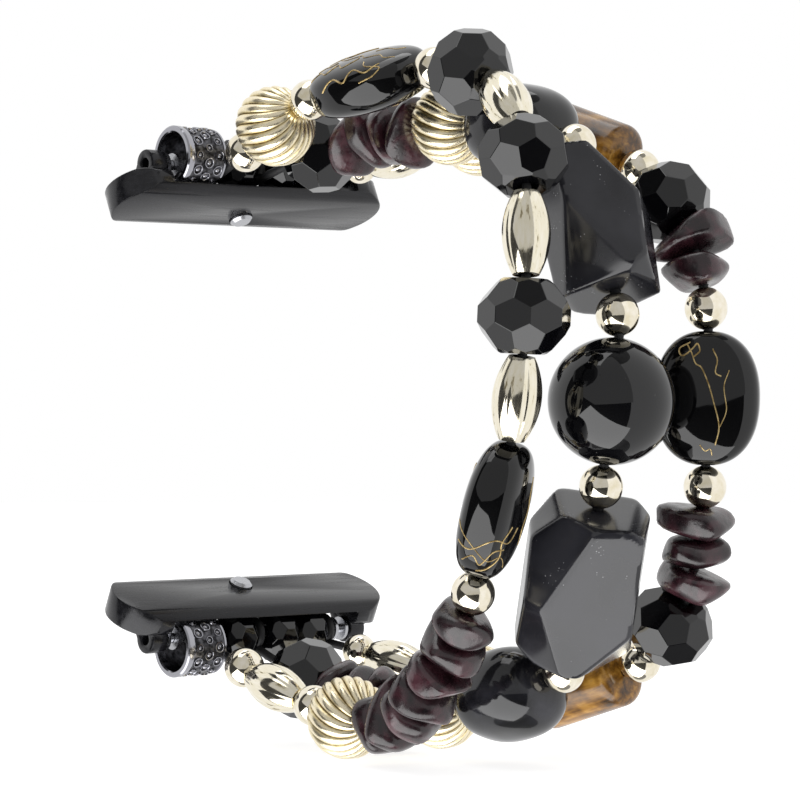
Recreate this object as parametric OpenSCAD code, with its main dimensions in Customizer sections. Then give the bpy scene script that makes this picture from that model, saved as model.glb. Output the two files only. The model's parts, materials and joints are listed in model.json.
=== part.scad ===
// Three-strand beaded stretch strap with slide-in adapters for a watch case.
// X runs along the spring bars, -Y towards the back of the wrist, +Z up.
// The origin is midway between the two spring bars, where the middle of the case sits.

/* [Case end] */
// Distance between the two spring bar axes
bar_gap = 49.1; // [44:0.1:56]
// Length of the adapter tongue in the slot of the case
tongue_len = 34; // [30:0.5:40]
// Width of the tongue across its rounded edges
tongue_w = 8.7; // [8:0.1:9.5]
// Thickness of the tongue
tongue_t = 2.8; // [2.6:0.1:3.2]
// Tilt of the tongue, which follows the slot
tongue_tilt = 24.7; // [22:0.5:28]
// Clear width between the two ears of an adapter
ear_gap = 24.3; // [24:0.1:27]
// Thickness of one ear
ear_t = 1.9; // [1.4:0.1:2.4]
// Radius of the ear around the spring bar
ear_r = 1.5; // [1.2:0.1:1.8]

/* [Latch] */
// Diameter of the latch button
latch_d = 2.4; // [1.8:0.1:2.6]
// How far the latch button stands out of the tongue
latch_rise = 0.5; // [0.4:0.05:0.55]

/* [Spring bar] */
// Outside diameter of the barrel
barrel_d = 1.5; // [1.4:0.05:1.7]
// Bore of the barrel
barrel_bore = 1.1; // [1.0:0.02:1.14]
// Diameter of the tip that enters the ear
tip_d = 1.1; // [0.9:0.05:1.2]
// Diameter of the flanges on the tips and on the barrel
flange_d = 2.5; // [2.2:0.1:2.8]
// Thickness of each flange
flange_t = 0.35; // [0.3:0.05:0.4]
// How far a tip enters its ear
tip_reach = 0.8; // [0.6:0.1:0.9]
// How far a tip can be pushed in
tip_travel = 0.9; // [0.9:0.05:1.1]
// Turns of the bar spring
bar_turns = 10; // [8:1:14]

/* [Bar beads] */
// Outside diameter of the patterned end tube
end_tube_d = 6.3; // [5.8:0.1:6.6]
// Bore of the end tube
end_tube_bore = 5; // [4.4:0.1:5.2]
// Length of the end tube
end_tube_len = 5.0; // [4:0.1:5.2]
// Diameter of the faceted beads on the bar
bar_crystal_d = 5.6; // [5:0.1:6]
// Length of the faceted beads on the bar
bar_crystal_len = 3.85; // [3.2:0.05:3.9]

/* [Strands] */
// Diameter of the elastic cord
cord_d = 0.9; // [0.6:0.05:1]
// Bore of every strung bead
bore_d = 1.6; // [1.4:0.05:1.8]
// Least gap between two strung beads
bead_gap = 0.05; // [0.04:0.01:0.15]

/* [Metal beads] */
// Diameter of the plain gold balls
ball_d = 4; // [3.6:0.1:4.4]
// Diameter of the small gold balls at the ends of the far strand
small_ball_d = 3.6; // [3:0.1:4]
// Diameter of the fluted gold balls
flute_d = 8.3; // [7.4:0.1:8.8]
// Length of the fluted gold balls
flute_len = 7.5; // [7:0.1:8.2]
// Flutes round a fluted ball
flute_count = 20; // [14:1:22]
// Turn of the flutes from end to end
flute_twist = 50; // [0:5:70]
// Diameter of the gold rice beads
rice_d = 4.6; // [4:0.1:5.2]
// Length of the gold rice beads
rice_len = 7.8; // [7:0.1:8.6]

/* [Black beads] */
// Diameter of the faceted crystals
crystal_d = 8.3; // [7.6:0.1:8.8]
// Length of the faceted crystals
crystal_len = 6.8; // [6.3:0.1:7.4]
// Diameter of the big round bead
round_d = 12; // [11.4:0.1:12.4]
// Length of the flat oval beads
oval_len = 13; // [12:0.1:13.8]
// Width of the flat oval beads
oval_w = 10.2; // [9:0.1:10.8]
// Thickness of the flat oval beads
oval_t = 5.6; // [5:0.1:6.4]
// Length of the smooth pebbles
pebble_len = 11.4; // [11:0.1:13]
// Width of the smooth pebbles
pebble_w = 10; // [9:0.1:10.6]
// Length of the upper cut stone
nugget_len = 14; // [13.4:0.1:15.6]
// Length of the lower cut stone
big_nugget_len = 15.4; // [14.8:0.1:17]
// Width of the upper cut stone
nugget_w = 10.8; // [10:0.1:11.6]
// Width of the lower cut stone
big_nugget_w = 11.8; // [11:0.1:12.2]

/* [Brown beads] */
// Length of the brown tubes
tube_len = 11.4; // [10.6:0.1:12.6]
// Diameter of the brown tubes
tube_d = 6.6; // [6:0.1:7.2]
// Spacing of the stone chips along the cord
chip_len = 2.8; // [2.7:0.05:3.2]
// Mean width of the stone chips
chip_w = 6.6; // [6:0.1:7]

/* [Hidden] */
$fn = 48;
eps = 0.01;
bar_z = bar_gap / 2;

// Adapter clearances and places
run_gap = 0.1;
end_gap = 0.05;
tongue_from_bar = 2.3;
tongue_shift = 2.5;
ear_hole_d = tip_d + run_gap;
bead_room = 0.3;
latch_place = 1.6;
latch_pocket = 2;
latch_pocket_d = latch_d + 0.9;
latch_lip = 0.4;
latch_flange = 0.3;
latch_flange_d = latch_pocket_d - 2 * run_gap;
latch_chamfer = 0.3;
latch_wire = 0.15;
latch_turns = 3;

// Spring bar places, from the ears inwards
ear_in = ear_gap / 2;
tip_flange_out = ear_in - 0.2;
barrel_end = tip_flange_out - flange_t - tip_travel - end_gap;
tip_chamfer = 0.3;
tip_stem = 2.6;
tip_stem_d = barrel_bore - 0.12;
bar_wire = 0.2;
bar_spring_d = barrel_bore - 0.2;

// Beads on the bar, from the near end
hang = [-0.6, -0.8];
cord_slot = cord_d + 0.7;
end_tube_drop = (end_tube_bore - flange_d) / 2 - run_gap;
bar_crystal_bore = barrel_d + 0.9;
bar_crystal_drop = (bar_crystal_bore - barrel_d) / 2 - run_gap;
end_tube_x = -barrel_end - 0.55;
slot_near = end_tube_x + end_tube_len + cord_slot / 2;
first_crystal_x = slot_near + cord_slot / 2;
slot_middle = first_crystal_x + bar_crystal_len + cord_slot / 2;
second_crystal_x = slot_middle + cord_slot / 2;
third_crystal_x = second_crystal_x + bar_crystal_len + run_gap;
slot_far = third_crystal_x + bar_crystal_len + cord_slot / 2;
cord_ring_r = (barrel_d + cord_d) / 2 + run_gap;

// Routes of the three cords, chosen by hand from the upper bar round to the lower one
near_route = [
    [slot_near - 0.3, -4.6, 25], [-6.1, -9, 26.9], [-5.9, -16.4, 30.3], [-5.4, -20.6, 31.3],
    [-3.9, -33.6, 32.4], [-3.8, -38.4, 32.2], [-4.9, -44.6, 29.8], [-7.1, -50.2, 25],
    [-8.8, -52.6, 19.4], [-9.8, -53.6, 11.8], [-10, -53.4, 4.8], [-10, -52, -3],
    [-9.8, -47.8, -14.8], [-9.5, -44.4, -20.6], [-9.1, -40.8, -25.6], [-8.2, -35.4, -29.8],
    [-6.9, -29.2, -31.6], [-6.3, -21.4, -31.1], [-6.2, -16.8, -30.3], [-6.6, -8.9, -28.3],
    [slot_near - 0.4, -4.8, -26.8]
];
middle_route = [
    [slot_middle + 1, -5.6, 25.4], [2.6, -13, 26.7], [2.6, -19.6, 27.4], [2.8, -24, 27.6],
    [3.4, -32, 27.8], [3.8, -43.8, 25.6], [3.6, -47, 22.8], [1.8, -52.6, 9.8], [1.3, -53.4, 5.8],
    [0.9, -52, -5.2], [1.1, -51, -9.2], [3.3, -45.8, -24], [3.6, -42.6, -26.8],
    [3, -31.2, -30.2], [2.4, -23.2, -30.9], [1.2, -12.6, -30.2], [slot_middle, -4.9, -27.8]
];
far_route = [
    [slot_far, -4.6, 24.8], [10, -8.4, 25.2], [11, -16.3, 26.5], [11.5, -20, 27.1],
    [13.2, -29, 27.8], [14.4, -33.2, 27.6], [15.7, -44.6, 23.6], [15.4, -48, 21],
    [14.7, -52.8, 17.4], [14.4, -55.2, 13.9], [14.3, -56.4, 10.4], [14.4, -56.8, 6.3],
    [14.6, -56.2, -6.6], [14.9, -55.6, -10.6], [15.3, -52.8, -19], [15.7, -48.6, -23.4],
    [15.6, -45.2, -26], [14.6, -34, -30.2], [13, -25.6, -29.6], [11.9, -21.4, -28.9],
    [10.9, -16.8, -28.3], [9.8, -8.7, -26.9], [slot_far, -4.7, -26.3]
];

// Bead order of each strand, from the upper bar round to the lower one
near_beads = [
    "ball", "flute", "ball", "oval", "ball", "crystal", "rice", "crystal", "rice", "crystal",
    "rice", "oval", "ball", "chip", "chip", "chip", "chip", "chip", "chip", "chip",
    "flute", "ball", "rice", "ball"
];
middle_beads = [
    "crystal", "chip", "chip", "chip", "chip", "flute", "pebble", "ball", "nugget", "ball",
    "round", "ball", "big_nugget", "ball", "pebble", "flute", "chip", "chip", "chip", "chip",
    "crystal"
];
far_beads = [
    "small_ball", "rice", "small_ball", "flute", "small_ball", "tube", "ball", "crystal",
    "chip", "chip", "ball", "oval", "ball", "chip", "chip", "chip", "crystal", "ball", "tube",
    "small_ball", "flute", "small_ball", "rice", "small_ball"
];
// First and last bead that lie on the back of the loop, in each strand
near_back = 10;
middle_back = 10;
far_back = 11;

// How far a bead reaches along its cord; a ball from one mouth of its bore to the other
function ball_len(d) = sqrt(d * d - bore_d * bore_d);
function bead_len(kind) =
    kind == "ball" ? ball_len(ball_d)
    : kind == "small_ball" ? ball_len(small_ball_d)
    : kind == "flute" ? flute_len
    : kind == "rice" ? rice_len
    : kind == "crystal" ? crystal_len
    : kind == "round" ? ball_len(round_d)
    : kind == "oval" ? oval_len
    : kind == "pebble" ? pebble_len
    : kind == "nugget" ? nugget_len
    : kind == "big_nugget" ? big_nugget_len
    : kind == "tube" ? tube_len
    : chip_len;

// Arc that a straight bead takes up on a loop of the mean radius
loop_r = 31;
function arc_len(kind) = bead_len(kind) + pow(bead_len(kind), 3) / (24 * loop_r * loop_r) + bead_gap;

// Radius at which the end of a bead meets its neighbour where the strand bends
flute_mouth = 1.45;
rice_mouth = 1.25;
flat_mouth = 2;
ball_mouth = 1.3;
rim_room = 0.2;
function rim(kind) = rim_room + (
    kind == "chip" ? 0.38 * chip_w
    : kind == "crystal" ? 0.3 * crystal_d
    : kind == "flute" ? flute_mouth
    : kind == "rice" || kind == "oval" ? rice_mouth
    : kind == "ball" || kind == "small_ball" || kind == "round" ? ball_mouth
    : flat_mouth
);

// Smooth curve through the points of a route
steps = 12;
function before(v) = concat([2 * v[0] - v[1]], v, [2 * v[len(v) - 1] - v[len(v) - 2]]);
function smooth(a, b, c, d, t) =
    b + 0.5 * t * (c - a + t * (2 * a - 5 * b + 4 * c - d + t * (3 * (b - c) + d - a)));
function curve(route) = let (p = before(route)) concat(
    [for (i = [1 : len(route) - 1], k = [0 : steps - 1])
        smooth(p[i - 1], p[i], p[i + 1], p[i + 2], k / steps)],
    [route[len(route) - 1]]
);
function running(v) = [for (i = 0, s = 0; i < len(v); s = s + v[i], i = i + 1) s];
function total(v) = len(v) == 0 ? 0 : v * [for (x = v) 1];
function legs(line) = [for (i = [1 : len(line) - 1]) norm(line[i] - line[i - 1])];

// The loop grows towards the back of the wrist until the beads fill it
function pulled(route, k) = [for (p = route) [p.x, p.y * k, p.z]];
function run_len(route, k) = total(legs(curve(pulled(route, k))));
function pull(route, want, k) =
    k + 0.02 * (want - run_len(route, k)) / (run_len(route, k + 0.02) - run_len(route, k));
function strung(route, arcs) = let (
    want = total(arcs),
    k = pull(route, want, pull(route, want, 1)),
    line = curve(pulled(route, k)),
    runs = running(concat(legs(line), [0])),
    places = running(concat(arcs, [0]))
) [for (s = places) [for (axis = [0 : 2])
    lookup(min(s, runs[len(runs) - 1]), [for (i = [0 : len(line) - 1]) [runs[i], line[i][axis]]])]];

// Two rims that lean together in a bend hold the mouths of their bores apart
function unit(v) = v / norm(v);
function lean(line, kinds, i) = i < 1 || i > len(kinds) - 1 ? 0
    : min(rim(kinds[i - 1]), rim(kinds[i]))
        * norm(cross(unit(line[i] - line[i - 1]), unit(line[i + 1] - line[i])));
function spaced(line, kinds) = [for (i = [0 : len(kinds) - 1])
    arc_len(kinds[i]) + (lean(line, kinds, i) + lean(line, kinds, i + 1)) / 2];
function knots(route, kinds, rounds = 3) = strung(route, rounds == 0
    ? [for (b = kinds) arc_len(b)]
    : spaced(knots(route, kinds, rounds - 1), kinds));

near_knots = knots(near_route, near_beads);
middle_knots = knots(middle_route, middle_beads);
far_knots = knots(far_route, far_beads);

// Frame of a bead: its bore along the cord, its width along the bars
module at_bead(line, i, turn = 0) {
    w = unit(line[i + 1] - line[i]);
    u = unit([1, 0, 0] - w.x * w);
    v = cross(w, u);
    m = (line[i] + line[i + 1]) / 2;
    multmatrix([[u.x, v.x, w.x, m.x], [u.y, v.y, w.y, m.y], [u.z, v.z, w.z, m.z]])
        rotate([0, 0, turn]) children();
}

// Closed skin over rings of points, each ring with the same number of them
module skin(rings) {
    n = len(rings[0]);
    last = len(rings) - 1;
    polyhedron(
        points = [for (ring = rings) each ring],
        faces = concat(
            [[for (i = [0 : n - 1]) i]],
            [[for (i = [n - 1 : -1 : 0]) last * n + i]],
            [for (r = [0 : last - 1], i = [0 : n - 1]) let (j = (i + 1) % n)
                each [[r * n + i, (r + 1) * n + i, (r + 1) * n + j],
                      [r * n + i, (r + 1) * n + j, r * n + j]]]
        )
    );
}

// Coil of wire along Z, from its middle
coil_rings = 8;
coil_sides = 6;
module coil(r, wire, height, turns) {
    n = round(turns * coil_rings);
    rise = height - wire;
    skin([for (i = [0 : n]) let (a = 360 * i / coil_rings, slope = atan(rise / turns / (2 * PI * r)))
        [for (k = [0 : coil_sides - 1]) let (
            b = -360 * k / coil_sides,
            out = r + wire / 2 * cos(b),
            up = wire / 2 * sin(b)
        ) [out * cos(a) + up * sin(slope) * sin(a), out * sin(a) - up * sin(slope) * cos(a),
           rise * (i / n - 0.5) + up * cos(slope)]]]);
}

// Strung beads, each centred with its bore along Z
module drilled(d = bore_d) {
    difference() {
        children();
        cylinder(h = 40, d = d, center = true);
    }
}

module ball(d = ball_d) {
    color("palegoldenrod") drilled() sphere(d = d);
}

flute_depth = 0.34;
flute_rings = 8;
module fluted_ball() {
    start = asin(2 * flute_mouth / flute_d);
    color("goldenrod") drilled() skin([for (k = [0 : flute_rings]) let (
        fall = start + (180 - 2 * start) * k / flute_rings,
        r = flute_d / 2 * sin(fall),
        z = -flute_len / 2 * cos(fall) / cos(start)
    ) [for (i = [0 : 2 * flute_count - 1]) let (
        a = 180 * i / flute_count + flute_twist * z / flute_len,
        out = r - (i % 2) * flute_depth * sin(fall)
    ) [out * cos(a), out * sin(a), z]]]);
}

// Rice bead pressed with long lobes, a crease between each two
rice_lobes = 8;
rice_crease = 0.2;
rice_rings = 8;
module rice() {
    color("palegoldenrod") drilled() skin([for (k = [0 : rice_rings]) let (
        t = 2 * k / rice_rings - 1,
        r = rice_mouth + (rice_d / 2 - rice_mouth) * (1 - t * t)
    ) [for (i = [0 : 2 * rice_lobes - 1]) let (
        a = 180 * i / rice_lobes,
        out = r - (i % 2) * rice_crease * (1 - t * t)
    ) [out * cos(a), out * sin(a), t * rice_len / 2]]]);
}

// Convex body left by flat cuts: each is its turn round the bore, its lean and its distance
cut_reach = 30;
module cut_body(cuts) {
    intersection_for (c = cuts)
        rotate([0, 0, c[0]]) rotate([0, 90 - c[1], 0])
            translate([-cut_reach, -cut_reach, c[2] - 2 * cut_reach]) cube(2 * cut_reach);
}

// Cut glass rondelle: a girdle of flats, two crown rows on each side of it and two tables
girdle_cuts = 8;
girdle_out = 0.482;
crown_lean = 38;
crown_out = 0.465;
shoulder_lean = 62;
shoulder_out = 0.215;
shoulder_up = 0.31;
module rondelle(d, l) {
    cut_body(concat(
        [for (i = [0 : girdle_cuts - 1]) [360 * i / girdle_cuts, 0, girdle_out * d]],
        [for (side = [-1, 1], i = [0 : girdle_cuts - 1])
            [360 * (i + 0.5) / girdle_cuts, side * crown_lean, crown_out * d]],
        [for (side = [-1, 1], i = [0 : girdle_cuts - 1])
            [360 * i / girdle_cuts, side * shoulder_lean, shoulder_out * d + shoulder_up * l]],
        [[0, 90, l / 2], [0, -90, l / 2]]
    ));
}

module crystal() {
    color("#15151a") drilled() rondelle(crystal_d, crystal_len);
}

module round_bead() {
    color("#0c0c0f") drilled() sphere(d = round_d);
}

// Puffed tablet, oval or nearly square in outline
puff_sides = 20;
puff_rings = 9;
module puff(len, w, t, square_ness, start = 14) {
    skin([for (k = [0 : puff_rings]) let (
        fall = start + (180 - 2 * start) * k / puff_rings,
        z = -len / 2 * cos(fall) / cos(start),
        swell = pow(sin(fall), square_ness)
    ) [for (i = [0 : puff_sides - 1]) let (a = 360 * i / puff_sides)
        [w / 2 * swell * sign(cos(a)) * pow(abs(cos(a)), 0.9),
         t / 2 * pow(sin(fall), 0.6) * sign(sin(a)) * pow(abs(sin(a)), 0.9), z]]]);
}

top_oval_turn = 24;
near_oval_turn = -35;
far_oval_turn = 40;
module oval() {
    color("#101014") drilled() puff(oval_len, oval_w, oval_t, 0.9);
}

pebble_flatness = 0.86;
module pebble() {
    color("#1a1a1e") drilled() puff(pebble_len, pebble_w, pebble_w * pebble_flatness, 0.75);
}

// Big cut stones: turn from the side that faces out at the near left, lean and distance
face_out = 133;
stone_sides = [[-105, 3, 0.47], [-63, 4, 0.46], [12, 0, 0.45], [76, -3, 0.46], [133, 4, 0.45],
               [180, -2, 0.46], [-146, 0, 0.46]];
upper_ends = [[-8, -48, 0.51], [62, -56, 0.51], [-80, -52, 0.51], [175, -50, 0.5],
              [-30, 40, 0.54], [48, 50, 0.53], [-100, 56, 0.53], [150, 48, 0.53]];
lower_ends = [[-20, -54, 0.54], [58, -50, 0.53], [-95, -50, 0.53], [170, -54, 0.53],
              [55, 42, 0.475], [-38, 56, 0.52], [-110, 46, 0.51], [175, 50, 0.5]];
end_share = 0.62;
module nugget(len, w, ends) {
    color("#2c2c32") drilled() cut_body(concat(
        [for (c = stone_sides) [face_out - c[0], c[1], c[2] * w]],
        [for (c = ends) let (reach = len * abs(sin(c[1])) + end_share * w * cos(c[1]))
            [face_out - c[0], c[1], c[2] * reach]],
        [[0, 90, len / 2], [0, -90, len / 2]]
    ));
}

tube_edge = 1.2;
module brown_tube() {
    color("#7a5630") drilled() rotate_extrude() polygon(concat(
        [[0, tube_len / 2], [0, -tube_len / 2]],
        [for (a = [-90 : 30 : 90]) [tube_d / 2 - tube_edge + tube_edge * cos(a),
            sign(a + eps) * (tube_len / 2 - tube_edge) + tube_edge * sin(a)]]
    ));
}

// Tumbled chip, lopsided and tilted by a rule so that no two neighbours are alike
chip_sides = 9;
chip_tilt = 5;
chip_face = 0.58;
module chip(seed) {
    size = chip_w / 2 * (1 + 0.08 * sin(seed * 131));
    thick = chip_len - chip_w * chip_face * 1.3 * sin(chip_tilt);
    color("#3c1f28") drilled() rotate(chip_tilt, [cos(seed * 97), sin(seed * 97), 0])
        skin([for (k = [0 : 3]) let (
            h = [-0.5, -0.28, 0.24, 0.5][k],
            swell = [chip_face, 0.97, 1, chip_face][k]
        ) [for (i = [0 : chip_sides - 1]) let (
            a = 360 * i / chip_sides,
            out = size * swell * (1 + 0.15 * sin(a * 2 + seed * 77) + 0.09 * sin(a * 3 + seed * 140)
                + 0.06 * sin(a + k * 60 + seed * 31))
        ) [out * cos(a), out * sin(a), h * thick]]]);
}

// Adapter, drawn for the lower end with the spring bar on the X axis
module tongue_face() {
    rotate([tongue_tilt, 0, 0]) translate([0, tongue_shift, tongue_from_bar]) children();
}

module adapter() {
    half = tongue_w / 2 - tongue_t / 2;
    color("#1b1c1f") difference() {
        union() {
            tongue_face() intersection() {
                rotate([90, 0, 90]) linear_extrude(tongue_len, center = true) {
                    square([2 * half, tongue_t], center = true);
                    for (side = [-1, 1]) translate([side * half, 0]) circle(d = tongue_t);
                }
                linear_extrude(2 * tongue_w, center = true) {
                    square([tongue_len - tongue_w, tongue_w], center = true);
                    for (side = [-1, 1]) translate([side * (tongue_len - tongue_w) / 2, 0])
                        circle(d = tongue_w, $fn = 96);
                }
            }
            for (side = [-1, 1]) translate([side * (ear_in + ear_t / 2), 0, 0])
                rotate([90, 0, 90]) linear_extrude(ear_t, center = true) {
                    circle(r = ear_r);
                    polygon([[-ear_r, 0], [ear_r, 0], [ear_r + 1.6, tongue_from_bar + 0.9],
                             [-ear_r + 0.2, tongue_from_bar - 0.8]]);
                }
        }
        rotate([0, 90, 0]) cylinder(h = ear_gap + 2 * ear_t + 1, d = ear_hole_d, center = true);
        for (bead = [[end_tube_drop, end_tube_d], [bar_crystal_drop, bar_crystal_d]])
            translate([0, hang[0] * bead[0], hang[1] * bead[0]])
                rotate([0, 90, 0]) cylinder(h = ear_gap, d = bead[1] + 2 * bead_room, center = true);
        at_latch() {
            cylinder(h = latch_pocket - latch_lip, d = latch_pocket_d);
            cylinder(h = latch_pocket + 1, d = latch_d + run_gap);
        }
    }
}

// Floor of the latch pocket, which opens towards the middle of the case
module at_latch() {
    tongue_face() translate([0, latch_place, tongue_t / 2 - latch_pocket]) children();
}

latch_base = latch_pocket - latch_lip - latch_flange - end_gap;
module latch_button() {
    color("silver") at_latch() {
        translate([0, 0, latch_base]) cylinder(h = latch_flange, d = latch_flange_d);
        translate([0, 0, latch_base])
            cylinder(h = latch_pocket + latch_rise - latch_base - latch_chamfer, d = latch_d);
        translate([0, 0, latch_pocket + latch_rise - latch_chamfer - eps])
            cylinder(h = latch_chamfer + eps, d1 = latch_d, d2 = latch_d - 2 * latch_chamfer);
    }
}

module latch_spring() {
    height = latch_base - 2 * end_gap;
    color("gainsboro") at_latch() translate([0, 0, latch_base / 2])
        coil(latch_d / 2 - latch_wire, latch_wire, height, latch_turns);
}

module bar_barrel() {
    color("dimgray") rotate([0, 90, 0]) difference() {
        union() {
            cylinder(h = 2 * barrel_end, d = barrel_d, center = true);
            for (side = [-1, 1]) translate([0, 0, side * (barrel_end - flange_t / 2)])
                cylinder(h = flange_t, d = flange_d, center = true);
        }
        cylinder(h = 3 * barrel_end, d = barrel_bore, center = true);
    }
}

module bar_tip(side) {
    color("silver") rotate([0, 90 * side, 0]) {
        translate([0, 0, barrel_end - tip_stem])
            cylinder(h = tip_stem + tip_travel + 2 * end_gap, d = tip_stem_d);
        translate([0, 0, tip_flange_out - flange_t]) cylinder(h = flange_t, d = flange_d);
        translate([0, 0, tip_flange_out - eps])
            cylinder(h = ear_in + tip_reach - tip_flange_out - tip_chamfer + 2 * eps, d = tip_d);
        translate([0, 0, ear_in + tip_reach - tip_chamfer])
            cylinder(h = tip_chamfer, d1 = tip_d, d2 = tip_d - tip_chamfer);
    }
}

module bar_spring() {
    color("gainsboro") rotate([0, 90, 0])
        coil((bar_spring_d - bar_wire) / 2, bar_wire, 2 * (barrel_end - tip_stem - end_gap), bar_turns);
}

// End tube with a polished rim at the open end and rows of dimples round its slimmer wall
end_rim_len = 0.9;
end_rim_rise = 0.2;
end_edge = 0.15;
dimple_rows = 3;
dimples_round = 12;
dimple_d = 0.9;
dimple_depth = 0.22;
dimple_edge = 0.75;
dimple_step = 1.25;
module end_tube() {
    wall = (end_tube_d - end_tube_bore) / 2;
    color("darkgray") translate([end_tube_x, hang[0] * end_tube_drop, hang[1] * end_tube_drop])
        rotate([0, 90, 0]) difference() {
            rotate_extrude() translate([end_tube_bore / 2, 0])
                polygon([[0, 0], [wall - end_edge, 0], [wall, end_edge], [wall, end_rim_len - end_edge],
                         [wall - end_rim_rise, end_rim_len], [wall - end_rim_rise, end_tube_len - end_edge],
                         [wall - end_rim_rise - end_edge, end_tube_len], [0, end_tube_len]]);
            for (row = [0 : dimple_rows - 1], i = [0 : dimples_round - 1])
                rotate([0, 0, 360 * (i + row / 2) / dimples_round])
                    translate([end_tube_d / 2 - end_rim_rise - dimple_depth, 0,
                               end_tube_len - dimple_edge - dimple_step * row])
                        rotate([0, 90, 0]) cylinder(h = 1, d = dimple_d, $fn = 24);
        }
}

module bar_crystals() {
    color("#15151a") for (x = [first_crystal_x, second_crystal_x, third_crystal_x])
        translate([x + bar_crystal_len / 2, hang[0] * bar_crystal_drop, hang[1] * bar_crystal_drop])
            rotate([0, 90, 0]) drilled(bar_crystal_bore) rondelle(bar_crystal_d, bar_crystal_len);
}

// Places at the two bars: the lower one as drawn, the upper one mirrored
module lower() {
    translate([0, 0, -bar_z]) children();
}
module upper() {
    mirror([0, 0, 1]) lower() children();
}

// Elastic cord swept along points, straight in each bead and bent between two
cord_sides = 8;
module swept(points) {
    last = len(points) - 1;
    skin([for (i = [0 : last]) let (
        w = unit(unit(points[min(i + 1, last)] - points[min(i, last - 1)])
            + unit(points[max(i, 1)] - points[max(i - 1, 0)])),
        u = unit([1, 0, 0] - w.x * w),
        v = cross(w, u)
    ) [for (k = [0 : cord_sides - 1]) let (a = 360 * k / cord_sides)
        points[i] + cord_d / 2 * (cos(a) * u + sin(a) * v)]]);
}
function toward(a, b, d) = a + d * unit(b - a);

// Loop of the cord round the bar at x, up to where it would meet its own lead
loop_step = 15;
function cord_loop(x, z, knot) = let (
    far = norm([knot.y, knot.z - z]),
    start = atan2(knot.z - z, knot.y) + acos(cord_ring_r / far),
    turn = 360 - acos(1 - (cord_d + run_gap) / cord_ring_r)
) [for (a = [turn : -loop_step : 0]) [x, cord_ring_r * cos(start + a), z + cord_ring_r * sin(start + a)]];

// The cords are cut where the arms meet the back, which stays still as they flex
cord_cut = 0.1;
module back_cord(line, i) {
    swept([toward(line[i], line[i + 1], cord_cut), toward(line[i + 1], line[i], cord_cut)]);
}
module upper_cord(line, back, x) {
    swept(concat(
        cord_loop(x, bar_z, line[0]),
        [for (i = [0 : back - 1]) line[i]],
        [toward(line[back], line[back - 1], cord_cut)]
    ));
}
module lower_cord(line, back, x) {
    last = len(line) - 1;
    swept(concat(
        cord_loop(x, -bar_z, line[last]),
        [for (i = [last : -1 : back + 2]) line[i]],
        [toward(line[back + 1], line[back + 2], cord_cut)]
    ));
}

module elastic_cords_upper() {
    color("#202022") {
        upper_cord(near_knots, near_back, slot_near);
        upper_cord(middle_knots, middle_back, slot_middle);
        upper_cord(far_knots, far_back, slot_far);
    }
}
module elastic_cords_back() {
    color("#202022") {
        back_cord(near_knots, near_back);
        back_cord(middle_knots, middle_back);
        back_cord(far_knots, far_back);
    }
}
module elastic_cords_lower() {
    color("#202022") {
        lower_cord(near_knots, near_back, slot_near);
        lower_cord(middle_knots, middle_back, slot_middle);
        lower_cord(far_knots, far_back, slot_far);
    }
}

// Every bead of one kind between two places of a strand
module balls(line, kinds, first, last) {
    for (i = [first : last]) {
        if (kinds[i] == "ball") at_bead(line, i) ball();
        if (kinds[i] == "small_ball") at_bead(line, i) ball(small_ball_d);
    }
}
chip_turn = 73;
module chips(line, kinds, first, last) {
    for (i = [first : last]) if (kinds[i] == "chip") at_bead(line, i, i * chip_turn) chip(i);
}

module gold_balls_upper() {
    balls(near_knots, near_beads, 0, near_back - 1);
    balls(middle_knots, middle_beads, 0, middle_back - 1);
    balls(far_knots, far_beads, 0, far_back - 1);
}
module gold_balls_lower() {
    balls(near_knots, near_beads, near_back + 1, len(near_beads) - 1);
    balls(middle_knots, middle_beads, middle_back + 1, len(middle_beads) - 1);
    balls(far_knots, far_beads, far_back + 1, len(far_beads) - 1);
}

module adapter_upper() upper() adapter();
module adapter_lower() lower() adapter();
module latch_button_upper() upper() latch_button();
module latch_button_lower() lower() latch_button();
module latch_spring_upper() upper() latch_spring();
module latch_spring_lower() lower() latch_spring();
module bar_barrel_upper() upper() bar_barrel();
module bar_barrel_lower() lower() bar_barrel();
module bar_tip_upper_left() upper() bar_tip(-1);
module bar_tip_upper_right() upper() bar_tip(1);
module bar_tip_lower_left() lower() bar_tip(-1);
module bar_tip_lower_right() lower() bar_tip(1);
module bar_spring_upper() upper() bar_spring();
module bar_spring_lower() lower() bar_spring();
module end_tube_upper() upper() end_tube();
module end_tube_lower() lower() end_tube();
module bar_crystals_upper() upper() bar_crystals();
module bar_crystals_lower() lower() bar_crystals();

module fluted_ball_near_upper() at_bead(near_knots, 1) fluted_ball();
module oval_near_upper() at_bead(near_knots, 3, top_oval_turn) oval();
module crystal_near_top() at_bead(near_knots, 5) crystal();
module rice_near_top() at_bead(near_knots, 6) rice();
module crystal_near_shoulder() at_bead(near_knots, 7) crystal();
module rice_near_shoulder() at_bead(near_knots, 8) rice();
module crystal_near_back() at_bead(near_knots, 9) crystal();
module rice_near_back() at_bead(near_knots, near_back) rice();
module oval_near_lower() at_bead(near_knots, 11, near_oval_turn) oval();
module chips_near_lower() chips(near_knots, near_beads, near_back, len(near_beads) - 1);
module fluted_ball_near_lower() at_bead(near_knots, 20) fluted_ball();
module rice_near_lower() at_bead(near_knots, 22) rice();

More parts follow.
